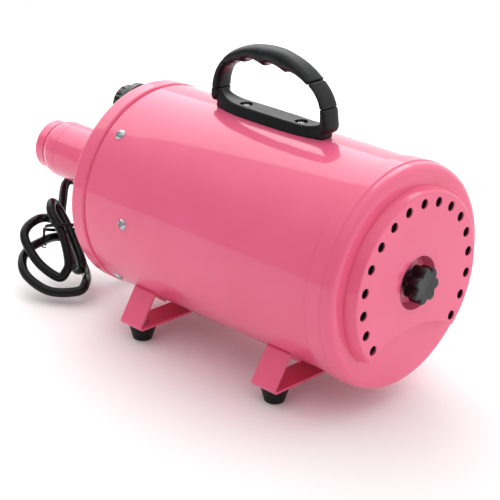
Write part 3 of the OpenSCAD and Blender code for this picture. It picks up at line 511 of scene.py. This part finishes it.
def oval(half_a, half_b, power, sides):
    """Points of a superellipse: pairs along its two axes."""
    points = []
    for k in range(sides):
        a = 2 * pi * k / sides
        points.append((
            half_a * copysign(abs(cos(a)) ** (2 / power), cos(a)),
            half_b * copysign(abs(sin(a)) ** (2 / power), sin(a)),
        ))
    return points


# ---- mains cord, its tie and plug -------------------------------------------------

CORD_R = 4.2 * MM
# The folded cord lies in a plane that is turned about the vertical and leans back.
BUNDLE_YAW = radians(42.5)
BUNDLE_LEAN = radians(46)
BUNDLE_AT = Vector((FRONT_X - 40.7 * MM, -60 * MM, AXIS_Z - 90 * MM))
ACROSS = Vector((cos(BUNDLE_YAW), sin(BUNDLE_YAW), 0))
UPHILL = Vector((
    -sin(BUNDLE_YAW) * sin(BUNDLE_LEAN),
    cos(BUNDLE_YAW) * sin(BUNDLE_LEAN),
    cos(BUNDLE_LEAN),
))
OUTWARD = ACROSS.cross(UPHILL)

# Guide points of the folded cord: across, uphill and outward from the leaning plane, in mm.
BACK_STRAND = [(-9, 111, -29), (-13, 82, -16), (-10, 51, -13), (1, 22, -13), (7, 12, -9)]
MIDDLE_STRAND = [(12, 11, -2), (11, 18, 4), (-2, 46, 3), (-12, 64, 1)]
FRONT_STRAND = [(-17, 69, 7), (-19, 66, 14), (-17, 54, 18), (-6, 36, 15), (1, 13, 9)]
SMALL_LOOP = [
    (-1, 4, 4), (-8, 0, 0), (-26, 12, 1), (-40, 32, 3),
    (-41, 46, 1), (-31, 59, -5), (-20, 67, -24),
]
RIGHT_STRAND = [(-9, 58, -26), (2, 38, -24), (14, 14, -18)]
LARGE_LOOP = [
    (17, -3, -1), (11, -13, 1), (-15, -14, 1), (-37, 1, 0),
    (-42, 21, -6), (-31, 38, -13), (-11, 55, -36),
]
# The cord's way from inside the front cap to the bundle, in mm from where it comes out of the cap.
LEAD_IN = [(13.5, 0, 0), (-10, 0, 0), (-24, 0, 0), (-36, 0, 0), (-70, 2, 10)]
# Its last stretch, in mm from where it enters the plug.
INTO_PLUG = [(-1, -30, -2), (0, -8, 0), (0, 4, 0)]


def in_bundle(point):
    across, uphill, outward = point
    return BUNDLE_AT + MM * (across * ACROSS + uphill * UPHILL + outward * OUTWARD)


def mains_cord():
    """The cord from the front cap, through the folds of the bundle and on to the plug."""
    gland_low, gland_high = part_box("strain_relief")
    leaves_cap = Vector((FRONT_X, (gland_low.y + gland_high.y) / 2, (gland_low.z + gland_high.z) / 2))
    leaves_bundle = Vector((BUNDLE_AT.x - 8 * MM, -10 * MM, AXIS_Z - 88 * MM))
    plug = plug_place()
    folds = BACK_STRAND + MIDDLE_STRAND + FRONT_STRAND + SMALL_LOOP + RIGHT_STRAND + LARGE_LOOP
    guide = [leaves_cap + Vector(offset) * MM for offset in LEAD_IN]
    guide += [in_bundle(point) for point in folds]
    guide.append(leaves_bundle)
    guide += [plug + Vector(offset) * MM for offset in INTO_PLUG]
    verts, faces = tube(smooth_line(guide, 10), CORD_R, 24)
    piece("mains_cord", verts, faces, HOUSING, cord_sheath, ["power_cord"])


def plug_place():
    """Where the cord enters the plug."""
    low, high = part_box("mains_plug")
    return Vector(((low.x + high.x) / 2, low.y, (low.z + high.z) / 2))


def tie_tail(knot, start_angle):
    """One hanging end of the tie, wound round the other and spread near its tip."""
    length, turns, steps = 18, 5, 48
    wound_r, spread, spread_from = 0.8, 2.4, 0.8
    line = []
    for k in range(steps + 1):
        drop = k / steps
        twist = start_angle + turns * 2 * pi * drop
        apart = wound_r + spread * max(0.0, drop - spread_from) / (1 - spread_from)
        swing = Vector((-1.5 * sin(3 * drop), 0.8 * sin(4 * drop), -length * drop))
        line.append(knot + (swing + Vector((apart * cos(twist), apart * sin(twist), 0))) * MM)
    return line


def cord_tie():
    """A flat twist tie round the bundle, its two ends twisted together and left hanging."""
    low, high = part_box("cord_tie")
    centre = (low + high) / 2
    tie_lean, tie_yaw = radians(20), radians(10)
    lean = Matrix.Rotation(tie_lean - BUNDLE_LEAN, 3, "X")
    turn = Matrix.Rotation(BUNDLE_YAW + tie_yaw, 3, "Z") @ lean
    # Half of the strip's straight stretches, the radius of its round ends, and its section.
    straight, round_r = 15.5, 15.0
    half_width, half_thickness = 1.5, 0.45
    tail_r = 0.6
    end_steps = 24
    path = []
    for end in (1, -1):
        for k in range(end_steps + 1):
            a = pi * k / end_steps
            path.append((end * round_r * cos(a), end * (straight + round_r * sin(a))))
    rings = []
    for i, (x, y) in enumerate(path):
        back_x, back_y = path[i - 1]
        next_x, next_y = path[(i + 1) % len(path)]
        out = Vector((next_y - back_y, back_x - next_x, 0)).normalized()
        ring = []
        for across, thick in oval(half_width, half_thickness, 2.5, 14):
            ring.append(centre + turn @ (Vector((x, y, across)) + out * thick) * MM)
        rings.append(ring)
    knot = centre + turn @ Vector((-round_r - tail_r, 4, 0)) * MM
    tails = [tube(tie_tail(knot, start), tail_r * MM, 8) for start in (0, pi)]
    verts, faces = joined([loft(rings, ends="joined")] + tails)
    piece("cord_tie_strip", verts, faces, HOUSING, foot_rubber, ["cord_tie"])


def plug_body():
    """Moulded round plug with a finger waist and a ribbed neck over the cord."""
    start = plug_place()
    cord_hole = [(5, 0.3), (5, 4.35), (0, 4.35), (0, 5.8), (0.5, 6.3)]
    ribs = []
    for k in range(4):
        back, wider = 3 * k, 0.5 * k
        ribs += [(1.6 + back, 6.6 + wider), (2.2 + back, 5.9 + wider), (3.2 + back, 6.0 + wider)]
    shoulder = [(13, 8.6), (13.3, 10.6), (14.1, 12.2), (15.5, 12.9), (18, 13)]
    waist = [(22, 12.8), (26, 12.1), (30, 12.2), (34, 12.8)]
    face = [(36.5, 13), (38.2, 12.9), (38.8, 12.5), (39, 11.8), (39, 0.3)]
    profile = cord_hole + ribs + shoulder + waist + face
    body = bare("plug_blank", *turned(profile, start, (0, 1, 0), (0, 0, 1), 72))
    pins_low, pins_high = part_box("plug_pins")
    pin_r = (pins_high.z - pins_low.z) / 2
    hole_r, hole_start = 2.46, 33 * MM
    cutters = []
    for x in (pins_low.x + pin_r, pins_high.x - pin_r):
        place = Vector((x, start.y + hole_start, (pins_low.z + pins_high.z) / 2))
        hole = turned([(0, hole_r), (10, hole_r)], place, (0, 1, 0), (0, 0, 1), 32)
        cutters.append(bare("pin_hole", *hole))
    shaped(body, cuts(cutters))
    remove(cutters)
    body.name = "plug_moulding"
    finish_piece(body, HOUSING, switch_plastic, ["mains_plug"])


mains_cord()
cord_tie()
plug_body()

# ---- handle ---------------------------------------------------------------------

# All sizes of the handle are in mm; heights are from the drum's axis.
HANDLE_POWER = 2.6  # of the superellipse that is the handle's cross-section
HALF_WIDTH = 9.9
LEFT_JOINT, RIGHT_JOINT = 106.0, 115.0
# Half-length, rise, spring height, and the superellipse's power on the left and on the right.
OUTER = (63.6, 51.7, 99.3, 2.3, 1.85)
INNER = (54.7, 30.6, 104.0, 3.1, 3.2)
# Each finger groove of the grip: where it starts and ends along the drum, and its depth.
GROOVES = [(-41, -29.9, 1.0), (-29.9, -8.0, 3.6), (-8.0, 15.4, 3.6), (15.4, 38, 1.8)]
# Where the rubber sleeve starts and ends on the arch's outside, its wall and the thinner core in it.
SLEEVE_START, SLEEVE_END = (-53.4, 134.4), (48.7, 140.3)
SLEEVE_WALL = 2.9
CORE_INSET = 3.2
# Number of steps along the arch, and the length of one.
ARCH_STEPS = 220
STEP_LENGTH = 0.85
# The base: half its length, its flat floor, and the top of the sweep from the floor to the posts.
BASE_HALF = 57.3
FLOOR_Z = 98.0
SWEEP_TOP = 105.4


def arch_curve(half, rise, spring, left_power, right_power):
    """Evenly spaced points of an arch above its joints, from left to right, in mm."""
    fine_steps = 2000
    dense = []
    for i in range(fine_steps + 1):
        t = pi * i / fine_steps
        power, joint = (left_power, LEFT_JOINT) if t < pi / 2 else (right_power, RIGHT_JOINT)
        x = -half * copysign(abs(cos(t)) ** (2 / power), cos(t))
        z = spring + rise * sin(t) ** (2 / power)
        if z >= joint:
            dense.append((x, z))
    walked = [0.0]
    for a, b in zip(dense, dense[1:]):
        walked.append(walked[-1] + dist(a, b))
    even = []
    at = 0
    for k in range(ARCH_STEPS + 1):
        target = walked[-1] * k / ARCH_STEPS
        while at < len(walked) - 2 and walked[at + 1] < target:
            at += 1
        share = (target - walked[at]) / (walked[at + 1] - walked[at])
        even.append(tuple(p + (q - p) * share for p, q in zip(dense[at], dense[at + 1])))
    return even


def leg_x(curve, side, z):
    """How far out one side of an arch is at a height."""
    half, rise, spring = curve[:3]
    power = curve[3] if side < 0 else curve[4]
    above = max(0.0, z - spring) / rise
    return half * (1 - above ** power) ** (1 / power)


outer_curve = arch_curve(*OUTER)
inner_curve = arch_curve(*INNER)


def grooved(x, z):
    """Height of the arch's underside with the finger grooves cut up into it."""
    skew = 0.64  # puts a groove's deepest point at a third of its length
    for start, end, depth in GROOVES:
        if start < x < end:
            return z + depth * sin(pi * ((x - start) / (end - start)) ** skew)
    return z


def arch_ring(i, inset, fingers=False):
    """One cross-section of the handle's arch."""
    (out_x, out_z), (in_x, in_z) = outer_curve[i], inner_curve[i]
    if fingers:
        in_z = grooved(in_x, in_z)
    out, back = about_handle(out_x, 0, out_z), about_handle(in_x, 0, in_z)
    centre, reach = (out + back) / 2, (out - back) / 2
    up = reach.normalized()
    ring = []
    for y, u in oval(HALF_WIDTH - inset, reach.length / MM - inset, HANDLE_POWER, 64):
        ring.append(centre + Vector((0, y, 0)) * MM + up * u * MM)
    return ring


def about_handle(x, y, z):
    """A point given in millimetres from the drum's axis, with x from the middle of the handle."""
    return Vector((HANDLE_X + x * MM, y * MM, AXIS_Z + z * MM))


def nearest_step(x, z):
    """The step of the arch whose outside is nearest to a point."""
    return min(range(ARCH_STEPS + 1), key=lambda i: dist(outer_curve[i], (x, z)))


def rounding(from_end, radius):
    """How far a section draws in close to a rounded end."""
    left = max(0.0, 1 - from_end / radius)
    return radius * (1 - sqrt(1 - left * left))


def grip():
    """Rubber sleeve with finger grooves, hollow over the arch's core."""
    first, last = nearest_step(*SLEEVE_START), nearest_step(*SLEEVE_END)
    outside, inside = [], []
    for i in range(first, last + 1):
        from_end = min(i - first, last - i) * STEP_LENGTH
        outside.append(arch_ring(i, rounding(from_end, 1.2), fingers=True))
        inside.append(arch_ring(i, SLEEVE_WALL, fingers=True))
    verts, faces = loft(outside + inside[::-1], ends="joined")
    piece("grip_moulding", verts, faces, HOUSING, grip_rubber, ["grip_sleeve"], 50)
    return first, last


def arch(first, last):
    """The arch itself, with a thinner core under the sleeve and a chamfer at either end of it."""
    rings = []
    for i in range(ARCH_STEPS + 1):
        under = first <= i <= last
        from_end = min(i, ARCH_STEPS - i) * STEP_LENGTH
        inset = CORE_INSET if under else 0.25 + rounding(from_end, 1.0)
        if i in (first - 2, last + 2):
            inset = 0.5
        elif i in (first - 1, last + 1):
            inset = 1.2
        rings.append(arch_ring(i, inset, fingers=under))
    verts, faces = loft(rings)
    piece("arch_moulding", verts, faces, HOUSING, handle_plastic, ["handle_arch"], 50)


def floor_height(x):
    """Height of the base's floor, which sweeps up to the posts."""
    start, end = 33.0, 54.9
    u = min(1.0, max(0.0, abs(x) - start) / (end - start))
    return FLOOR_Z + (SWEEP_TOP - FLOOR_Z) * (1 - sqrt(1 - u * u))


def base_ring(x):
    """Cross-section of the base, wide in the middle and narrower at its ends."""
    # Half of the base's width at its ends, on the drum and at the floor.
    swell = 1 - abs(x / BASE_HALF) ** 3
    end_w = 6.5
    foot_w = end_w + 6.0 * swell
    floor_w = end_w + 3.6 * swell
    top = floor_height(x)
    corner = 1.6 + 0.45 * (top - FLOOR_Z)
    flat = floor_w - corner
    under_steps, corner_steps, floor_steps = 14, 8, 10
    dish, seam = 0.6, 0.1

    def round_corner(side):
        start = 0 if side > 0 else pi / 2
        angles = [start + pi / 2 * k / corner_steps for k in range(corner_steps + 1)]
        return [(side * flat + corner * cos(a), top - corner + corner * sin(a)) for a in angles]

    points = []
    for k in range(under_steps + 1):
        y = foot_w * (2 * k / under_steps - 1)
        points.append((y, sqrt((DRUM_R / MM) ** 2 - y * y) + seam))
    points += round_corner(1)
    for k in range(1, floor_steps):
        y = flat - 2 * flat * k / floor_steps
        points.append((y, top - dish * (1 - (y / flat) ** 2)))
    points += round_corner(-1)
    return [about_handle(x, y, z) for y, z in points]


def post(side, joint):
    """Post under one foot of the arch, with a round chin beyond the base's angular end."""
    rings = []
    # Height, and how far the post draws in there.
    chin = [(95.3, 3.0), (95.7, 2.1), (96.6, 1.2), (98, 0.5), (100, 0.1)]
    top = [(joint - 3, 0.1), (joint - 0.9, 0.15), (joint - 0.4, 0.5), (joint - 0.15, 1.1)]
    for z, inset in chin + top:
        out, back = leg_x(OUTER, side, z), leg_x(INNER, side, z)
        ring = []
        for x, y in oval((out - back) / 2 - inset, HALF_WIDTH - inset, HANDLE_POWER, 48):
            ring.append(about_handle(side * (out + back) / 2 + x, y, z))
        rings.append(ring)
    return loft(rings)


def handle_foot():
    """Base of the handle with its two posts and two screw recesses."""
    rings = 86
    floor_part = loft([base_ring(BASE_HALF * (2 * k / rings - 1)) for k in range(rings + 1)])
    body = bare("base_blank", *joined([floor_part, post(-1, LEFT_JOINT), post(1, RIGHT_JOINT)]))
    screw_low, screw_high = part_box("handle_screws")
    head_r = 4.4 * MM
    # Height and radius of the bore for the thread, of the room for the screw's head and of its mouth.
    recess = [(80, 2.6), (94.5, 2.6), (94.5, 5.4), (97.6, 5.4), (98.4, 6.1), (106, 6.1)]
    cutters = []
    for x in (screw_low.x + head_r, screw_high.x - head_r):
        start = Vector((x, 0, AXIS_Z))
        cutters.append(bare("recess", *turned(recess, start, (0, 0, 1), (1, 0, 0), 64)))
    merged = [
        ("REMESH", {"mode": "VOXEL", "voxel_size": 0.55 * MM}),
        ("SMOOTH", {"factor": 0.5, "iterations": 3}),
    ]
    shaped(body, merged + cuts(cutters))
    remove(cutters)
    body.name = "base_moulding"
    finish_piece(body, HOUSING, handle_plastic, ["handle_base"], 50)


arch(*grip())
handle_foot()

# ---- intake: clamping knob and foam ------------------------------------------------


def clamping_knob():
    """Seven-lobed knob with rounded edges, a slightly dished front and a bore over the stud."""
    knob_low, knob_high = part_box("cover_knob")
    stud_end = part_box("cover_stud")[1].x
    hub = (knob_low.x - knob_high.x) / MM
    bore = (stud_end - knob_high.x) / MM + 0.5
    sides = 210
    # Each ring: place along the axis from the front, how far it draws in, and its radius if round.
    rings = [
        (bore, 0, 0.3), (bore, 0, 3.05), (hub, 0, 3.05), (hub, 0, 8.1), (hub + 0.4, 0, 8.5),
        (-12.5, 0, 8.5), (-12.5, 1.7, None), (-12.2, 0.8, None), (-11.6, 0.2, None), (-11, 0, None),
        (-1.7, 0, None), (-1.1, 0.15, None), (-0.6, 0.5, None), (-0.2, 1.0, None), (0, 1.7, None),
        (0, 2.2, None), (-0.15, 0, 8), (-0.4, 0, 4), (-0.5, 0, 0.3),
    ]
    lobes, first_lobe = 7, radians(100)
    lobe_r, lobe_out, core_r, whole_r = 4.3, 11.1, 12.0, 15.4
    fillet_power = 24

    def reach(angle):
        """Radius of the lobed outline, with a small fillet between a lobe and the core."""
        off = (angle - first_lobe + pi / lobes) % (2 * pi / lobes) - pi / lobes
        beside = lobe_out * sin(off)
        if abs(beside) >= lobe_r:
            return core_r
        lobe = lobe_out * cos(off) + sqrt(lobe_r ** 2 - beside ** 2)
        outline = (core_r ** fillet_power + lobe ** fillet_power) ** (1 / fillet_power)
        return min(outline, whole_r)

    skin = []
    for x, inset, round_r in rings:
        ring = []
        for k in range(sides):
            a = 2 * pi * k / sides
            r = (round_r or reach(a) - inset) * MM
            ring.append(Vector((knob_high.x + x * MM, r * cos(a), AXIS_Z + r * sin(a))))
        skin.append(ring)
    verts, faces = loft(skin)
    body = body_of(nodes["cover_knob"])[0]
    piece("clamping_knob", verts, faces, body, knob_plastic, ["cover_knob"], 40)


def foam_disc():
    """Open-cell foam behind the cover: the disc's surface is eaten into by its pores."""
    source = nodes["filter_foam"]
    body = body_of(source)[0]
    made = bpy.data.objects.new("foam_pad", source.data.copy())
    made.matrix_world = source.matrix_world.copy()
    scene.collection.objects.link(made)
    pores = bpy.data.textures.new("pores", "CLOUDS")
    pores.noise_scale = 2.2 * MM
    pores.noise_depth = 1
    shaped(made, [
        ("REMESH", {"mode": "VOXEL", "voxel_size": 1.1 * MM}),
        ("DISPLACE", {
            "texture": pores, "strength": -1.4 * MM, "mid_level": 0.0, "texture_coords": "LOCAL",
        }),
    ])
    finish_piece(made, body, foam, ["filter_foam"])


clamping_knob()
foam_disc()

# ---- printed and moulded marks -------------------------------------------------------


def bar_mark(centre, along_dir, out_dir, length, width, height=0.25):
    """A thin raised bar lying on a surface; sizes in mm."""
    along_dir, out_dir = Vector(along_dir).normalized(), Vector(out_dir).normalized()
    side = along_dir.cross(out_dir)
    rings = []
    for out, inset in ((-0.15, 0), (height * 0.6, 0), (height, 0.12)):
        ring = []
        for a, b in oval(length / 2 - inset, width / 2 - inset, 4, 16):
            ring.append(centre + (along_dir * a + side * b + out_dir * out) * MM)
        rings.append(ring)
    return loft(rings)


def ring_mark(centre, out_dir, up_dir, radius, width):
    """A thin raised ring lying on a surface; sizes in mm."""
    out_dir, up_dir = Vector(out_dir).normalized(), Vector(up_dir).normalized()
    side = up_dir.cross(out_dir)
    section = oval(width / 2, 0.2, 3, 10)
    steps = 36
    rings = []
    for k in range(steps):
        a = 2 * pi * k / steps
        spoke = side * cos(a) + up_dir * sin(a)
        rings.append([centre + (spoke * (radius + b) + out_dir * c) * MM for b, c in section])
    return loft(rings, ends="joined")


def dial_marks():
    """Pointer on the speed knob's end, a scale on its skirt and an index line on the cap below it."""
    low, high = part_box("speed_knob")
    centre = Vector((low.x, (low.y + high.y) / 2, (low.z + high.z) / 2))
    skirt_r = (high.z - low.z) / 2 / MM
    outward = (-1, 0, 0)
    marks = [bar_mark(centre + Vector((0, 0, -8.5)) * MM, (0, 0, 1), outward, 9, 1.4)]
    skirt = centre + Vector((12.5, 0, 0)) * MM
    # Eleven ticks, 30 degrees apart; the ends and the middle have longer ones.
    for k in range(11):
        a = radians(-60 + 30 * k)
        spoke = Vector((0, cos(a), sin(a)))
        length = 1.8 if k % 5 else 2.4
        marks.append(bar_mark(skirt + spoke * (skirt_r - 2.4) * MM, spoke, outward, length, 0.6))
    body = body_of(nodes["speed_knob"])[0]
    verts, faces = joined(marks)
    piece("speed_scale", verts, faces, body, white_print)
    index = Vector((FRONT_X, centre.y, centre.z - (skirt_r + 5) * MM))
    verts, faces = bar_mark(index, (0, 0, 1), outward, 6, 1.2, 0.15)
    piece("speed_index", verts, faces, HOUSING, white_print)


def rocker_marks(node, name, side):
    """A bar on one half of the rocker and a ring on the other."""
    tilt = Matrix.Rotation(radians(-8), 3, "Y")
    pivot = Vector((FRONT_X, 0, AXIS_Z)) + Vector((1, side * 60, 8)) * MM
    # Height of one half of the rocker's face, how much it falls inward, and its middle.
    rise, fall = 7.2, 2.4
    middle_out, middle_up = 4.8, 3.6
    parts = []
    for half in (1, -1):
        out = tilt @ Vector((-rise, 0, -fall * half)).normalized()
        up = tilt @ Vector((-fall * half, 0, rise)).normalized()
        centre = pivot + tilt @ Vector((-middle_out, 0, middle_up * half)) * MM
        if half > 0:
            parts.append(bar_mark(centre, up, out, 3.6, 0.7, 0.2))
        else:
            parts.append(ring_mark(centre, out, up, 1.5, 0.6))
    verts, faces = joined(parts)
    piece(name, verts, faces, body_of(nodes[node])[0], white_print)


dial_marks()
rocker_marks("power_rocker", "power_marks", -1)
rocker_marks("heat_rocker", "heat_marks", 1)

# ---- light, floor and camera ---------------------------------------------------------

# Brightness of the room in front, the sweep behind and the ceiling.
ROOM = 0.46
SWEEP = 1.3
CEILING = 1.36
# Sideways part of a direction where the sweep starts, and where it has its full brightness.
SWEEP_START, SWEEP_FULL = -0.15, 0.35
# Upward part of a direction where the ceiling starts, and half of its soft edge.
CEILING_EDGE = 0.68
EDGE_SOFT = 0.25


def world_light():
    """Studio round the object: a bright ceiling and sweep behind it, a darker room in front."""
    world = bpy.data.worlds.new("studio")
    scene.world = world
    world.use_nodes = True
    tree = world.node_tree

    def node(kind, **settings):
        made = tree.nodes.new(kind)
        for key, value in settings.items():
            setattr(made, key, value)
        return made

    def step(source, low, high, from_value, to_value):
        """Goes from one value to another as source passes from low to high."""
        made = node("ShaderNodeMapRange")
        for name, value in (("From Min", low), ("From Max", high)):
            made.inputs[name].default_value = value
        for name, value in (("To Min", from_value), ("To Max", to_value)):
            if isinstance(value, float):
                made.inputs[name].default_value = value
            else:
                tree.links.new(value, made.inputs[name])
        tree.links.new(source, made.inputs["Value"])
        return made.outputs["Result"]

    direction = node("ShaderNodeSeparateXYZ")
    tree.links.new(node("ShaderNodeTexCoord").outputs["Generated"], direction.inputs[0])
    around = step(direction.outputs["Y"], SWEEP_START, SWEEP_FULL, ROOM, SWEEP)
    upward = direction.outputs["Z"]
    lit = step(upward, CEILING_EDGE - EDGE_SOFT, CEILING_EDGE + EDGE_SOFT, around, CEILING)
    seen = step(node("ShaderNodeLightPath").outputs["Is Camera Ray"], 0.0, 1.0, lit, 1.0)
    background = tree.nodes["Background"]
    background.inputs["Color"].default_value = (1, 1, 1, 1)
    tree.links.new(seen, background.inputs["Strength"])


def softbox(name, edge_from, edge_to, depth, height, brightness):
    """Level light panel; its near edge is over a line between two floor points, and it reaches left."""
    start, end = Vector((*edge_from, height)), Vector((*edge_to, height))
    along_edge = (end - start).normalized()
    away = Vector((-along_edge.y, along_edge.x, 0))
    data = bpy.data.lights.new(name, "AREA")
    data.shape = "RECTANGLE"
    data.size = depth
    data.size_y = (end - start).length
    data.energy = brightness * pi * data.size * data.size_y
    made = bpy.data.objects.new(name, data)
    turn = Matrix((-away, along_edge, Vector((0, 0, 1)))).transposed()
    made.matrix_world = Matrix.Translation((start + end) / 2 + away * depth / 2) @ turn.to_4x4()
    scene.collection.objects.link(made)


def floor():
    """White paper under the object, level with its feet."""
    mesh = bpy.data.meshes.new("floor")
    corners = [(-1.0, -0.9, 0), (2.0, -0.9, 0), (2.0, 2.5, 0), (-1.0, 2.5, 0)]
    mesh.from_pydata(corners, [], [(0, 1, 2, 3)])
    made = bpy.data.objects.new("floor", mesh)
    look = Look("floor_paper", (0.93, 0.93, 0.93), 0.7)
    look.vary("Roughness", look.spread(look.noise(40, 3.0), 0.65, 0.75))
    mesh.materials.append(look.done())
    scene.collection.objects.link(made)


def camera():
    """The photo's view, with place, angles and lens fitted to the outlines in the photo."""
    azimuth, elevation, roll = radians(42.54), radians(22.30), radians(2.61)
    place = about_axis(801.1, -890.5, 468.05)
    side = Vector((cos(azimuth), sin(azimuth), 0))
    back = Vector((sin(azimuth) * cos(elevation), -cos(azimuth) * cos(elevation), sin(elevation)))
    up = back.cross(side)
    right = side * cos(roll) + up * sin(roll)
    up = up * cos(roll) - side * sin(roll)
    data = bpy.data.cameras.new("camera")
    data.lens = 112.07
    data.sensor_width = 36.0
    made = bpy.data.objects.new("camera", data)
    turn = Matrix((right, up, back)).transposed()
    made.matrix_world = Matrix.Translation(place) @ turn.to_4x4()
    scene.collection.objects.link(made)
    scene.camera = made


world_light()
softbox("overhead", (-1.5, -0.97), (0.1, 0.63), depth=1.6, height=1.0, brightness=1.8)
floor()
camera()
scene.view_settings.view_transform = "Standard"
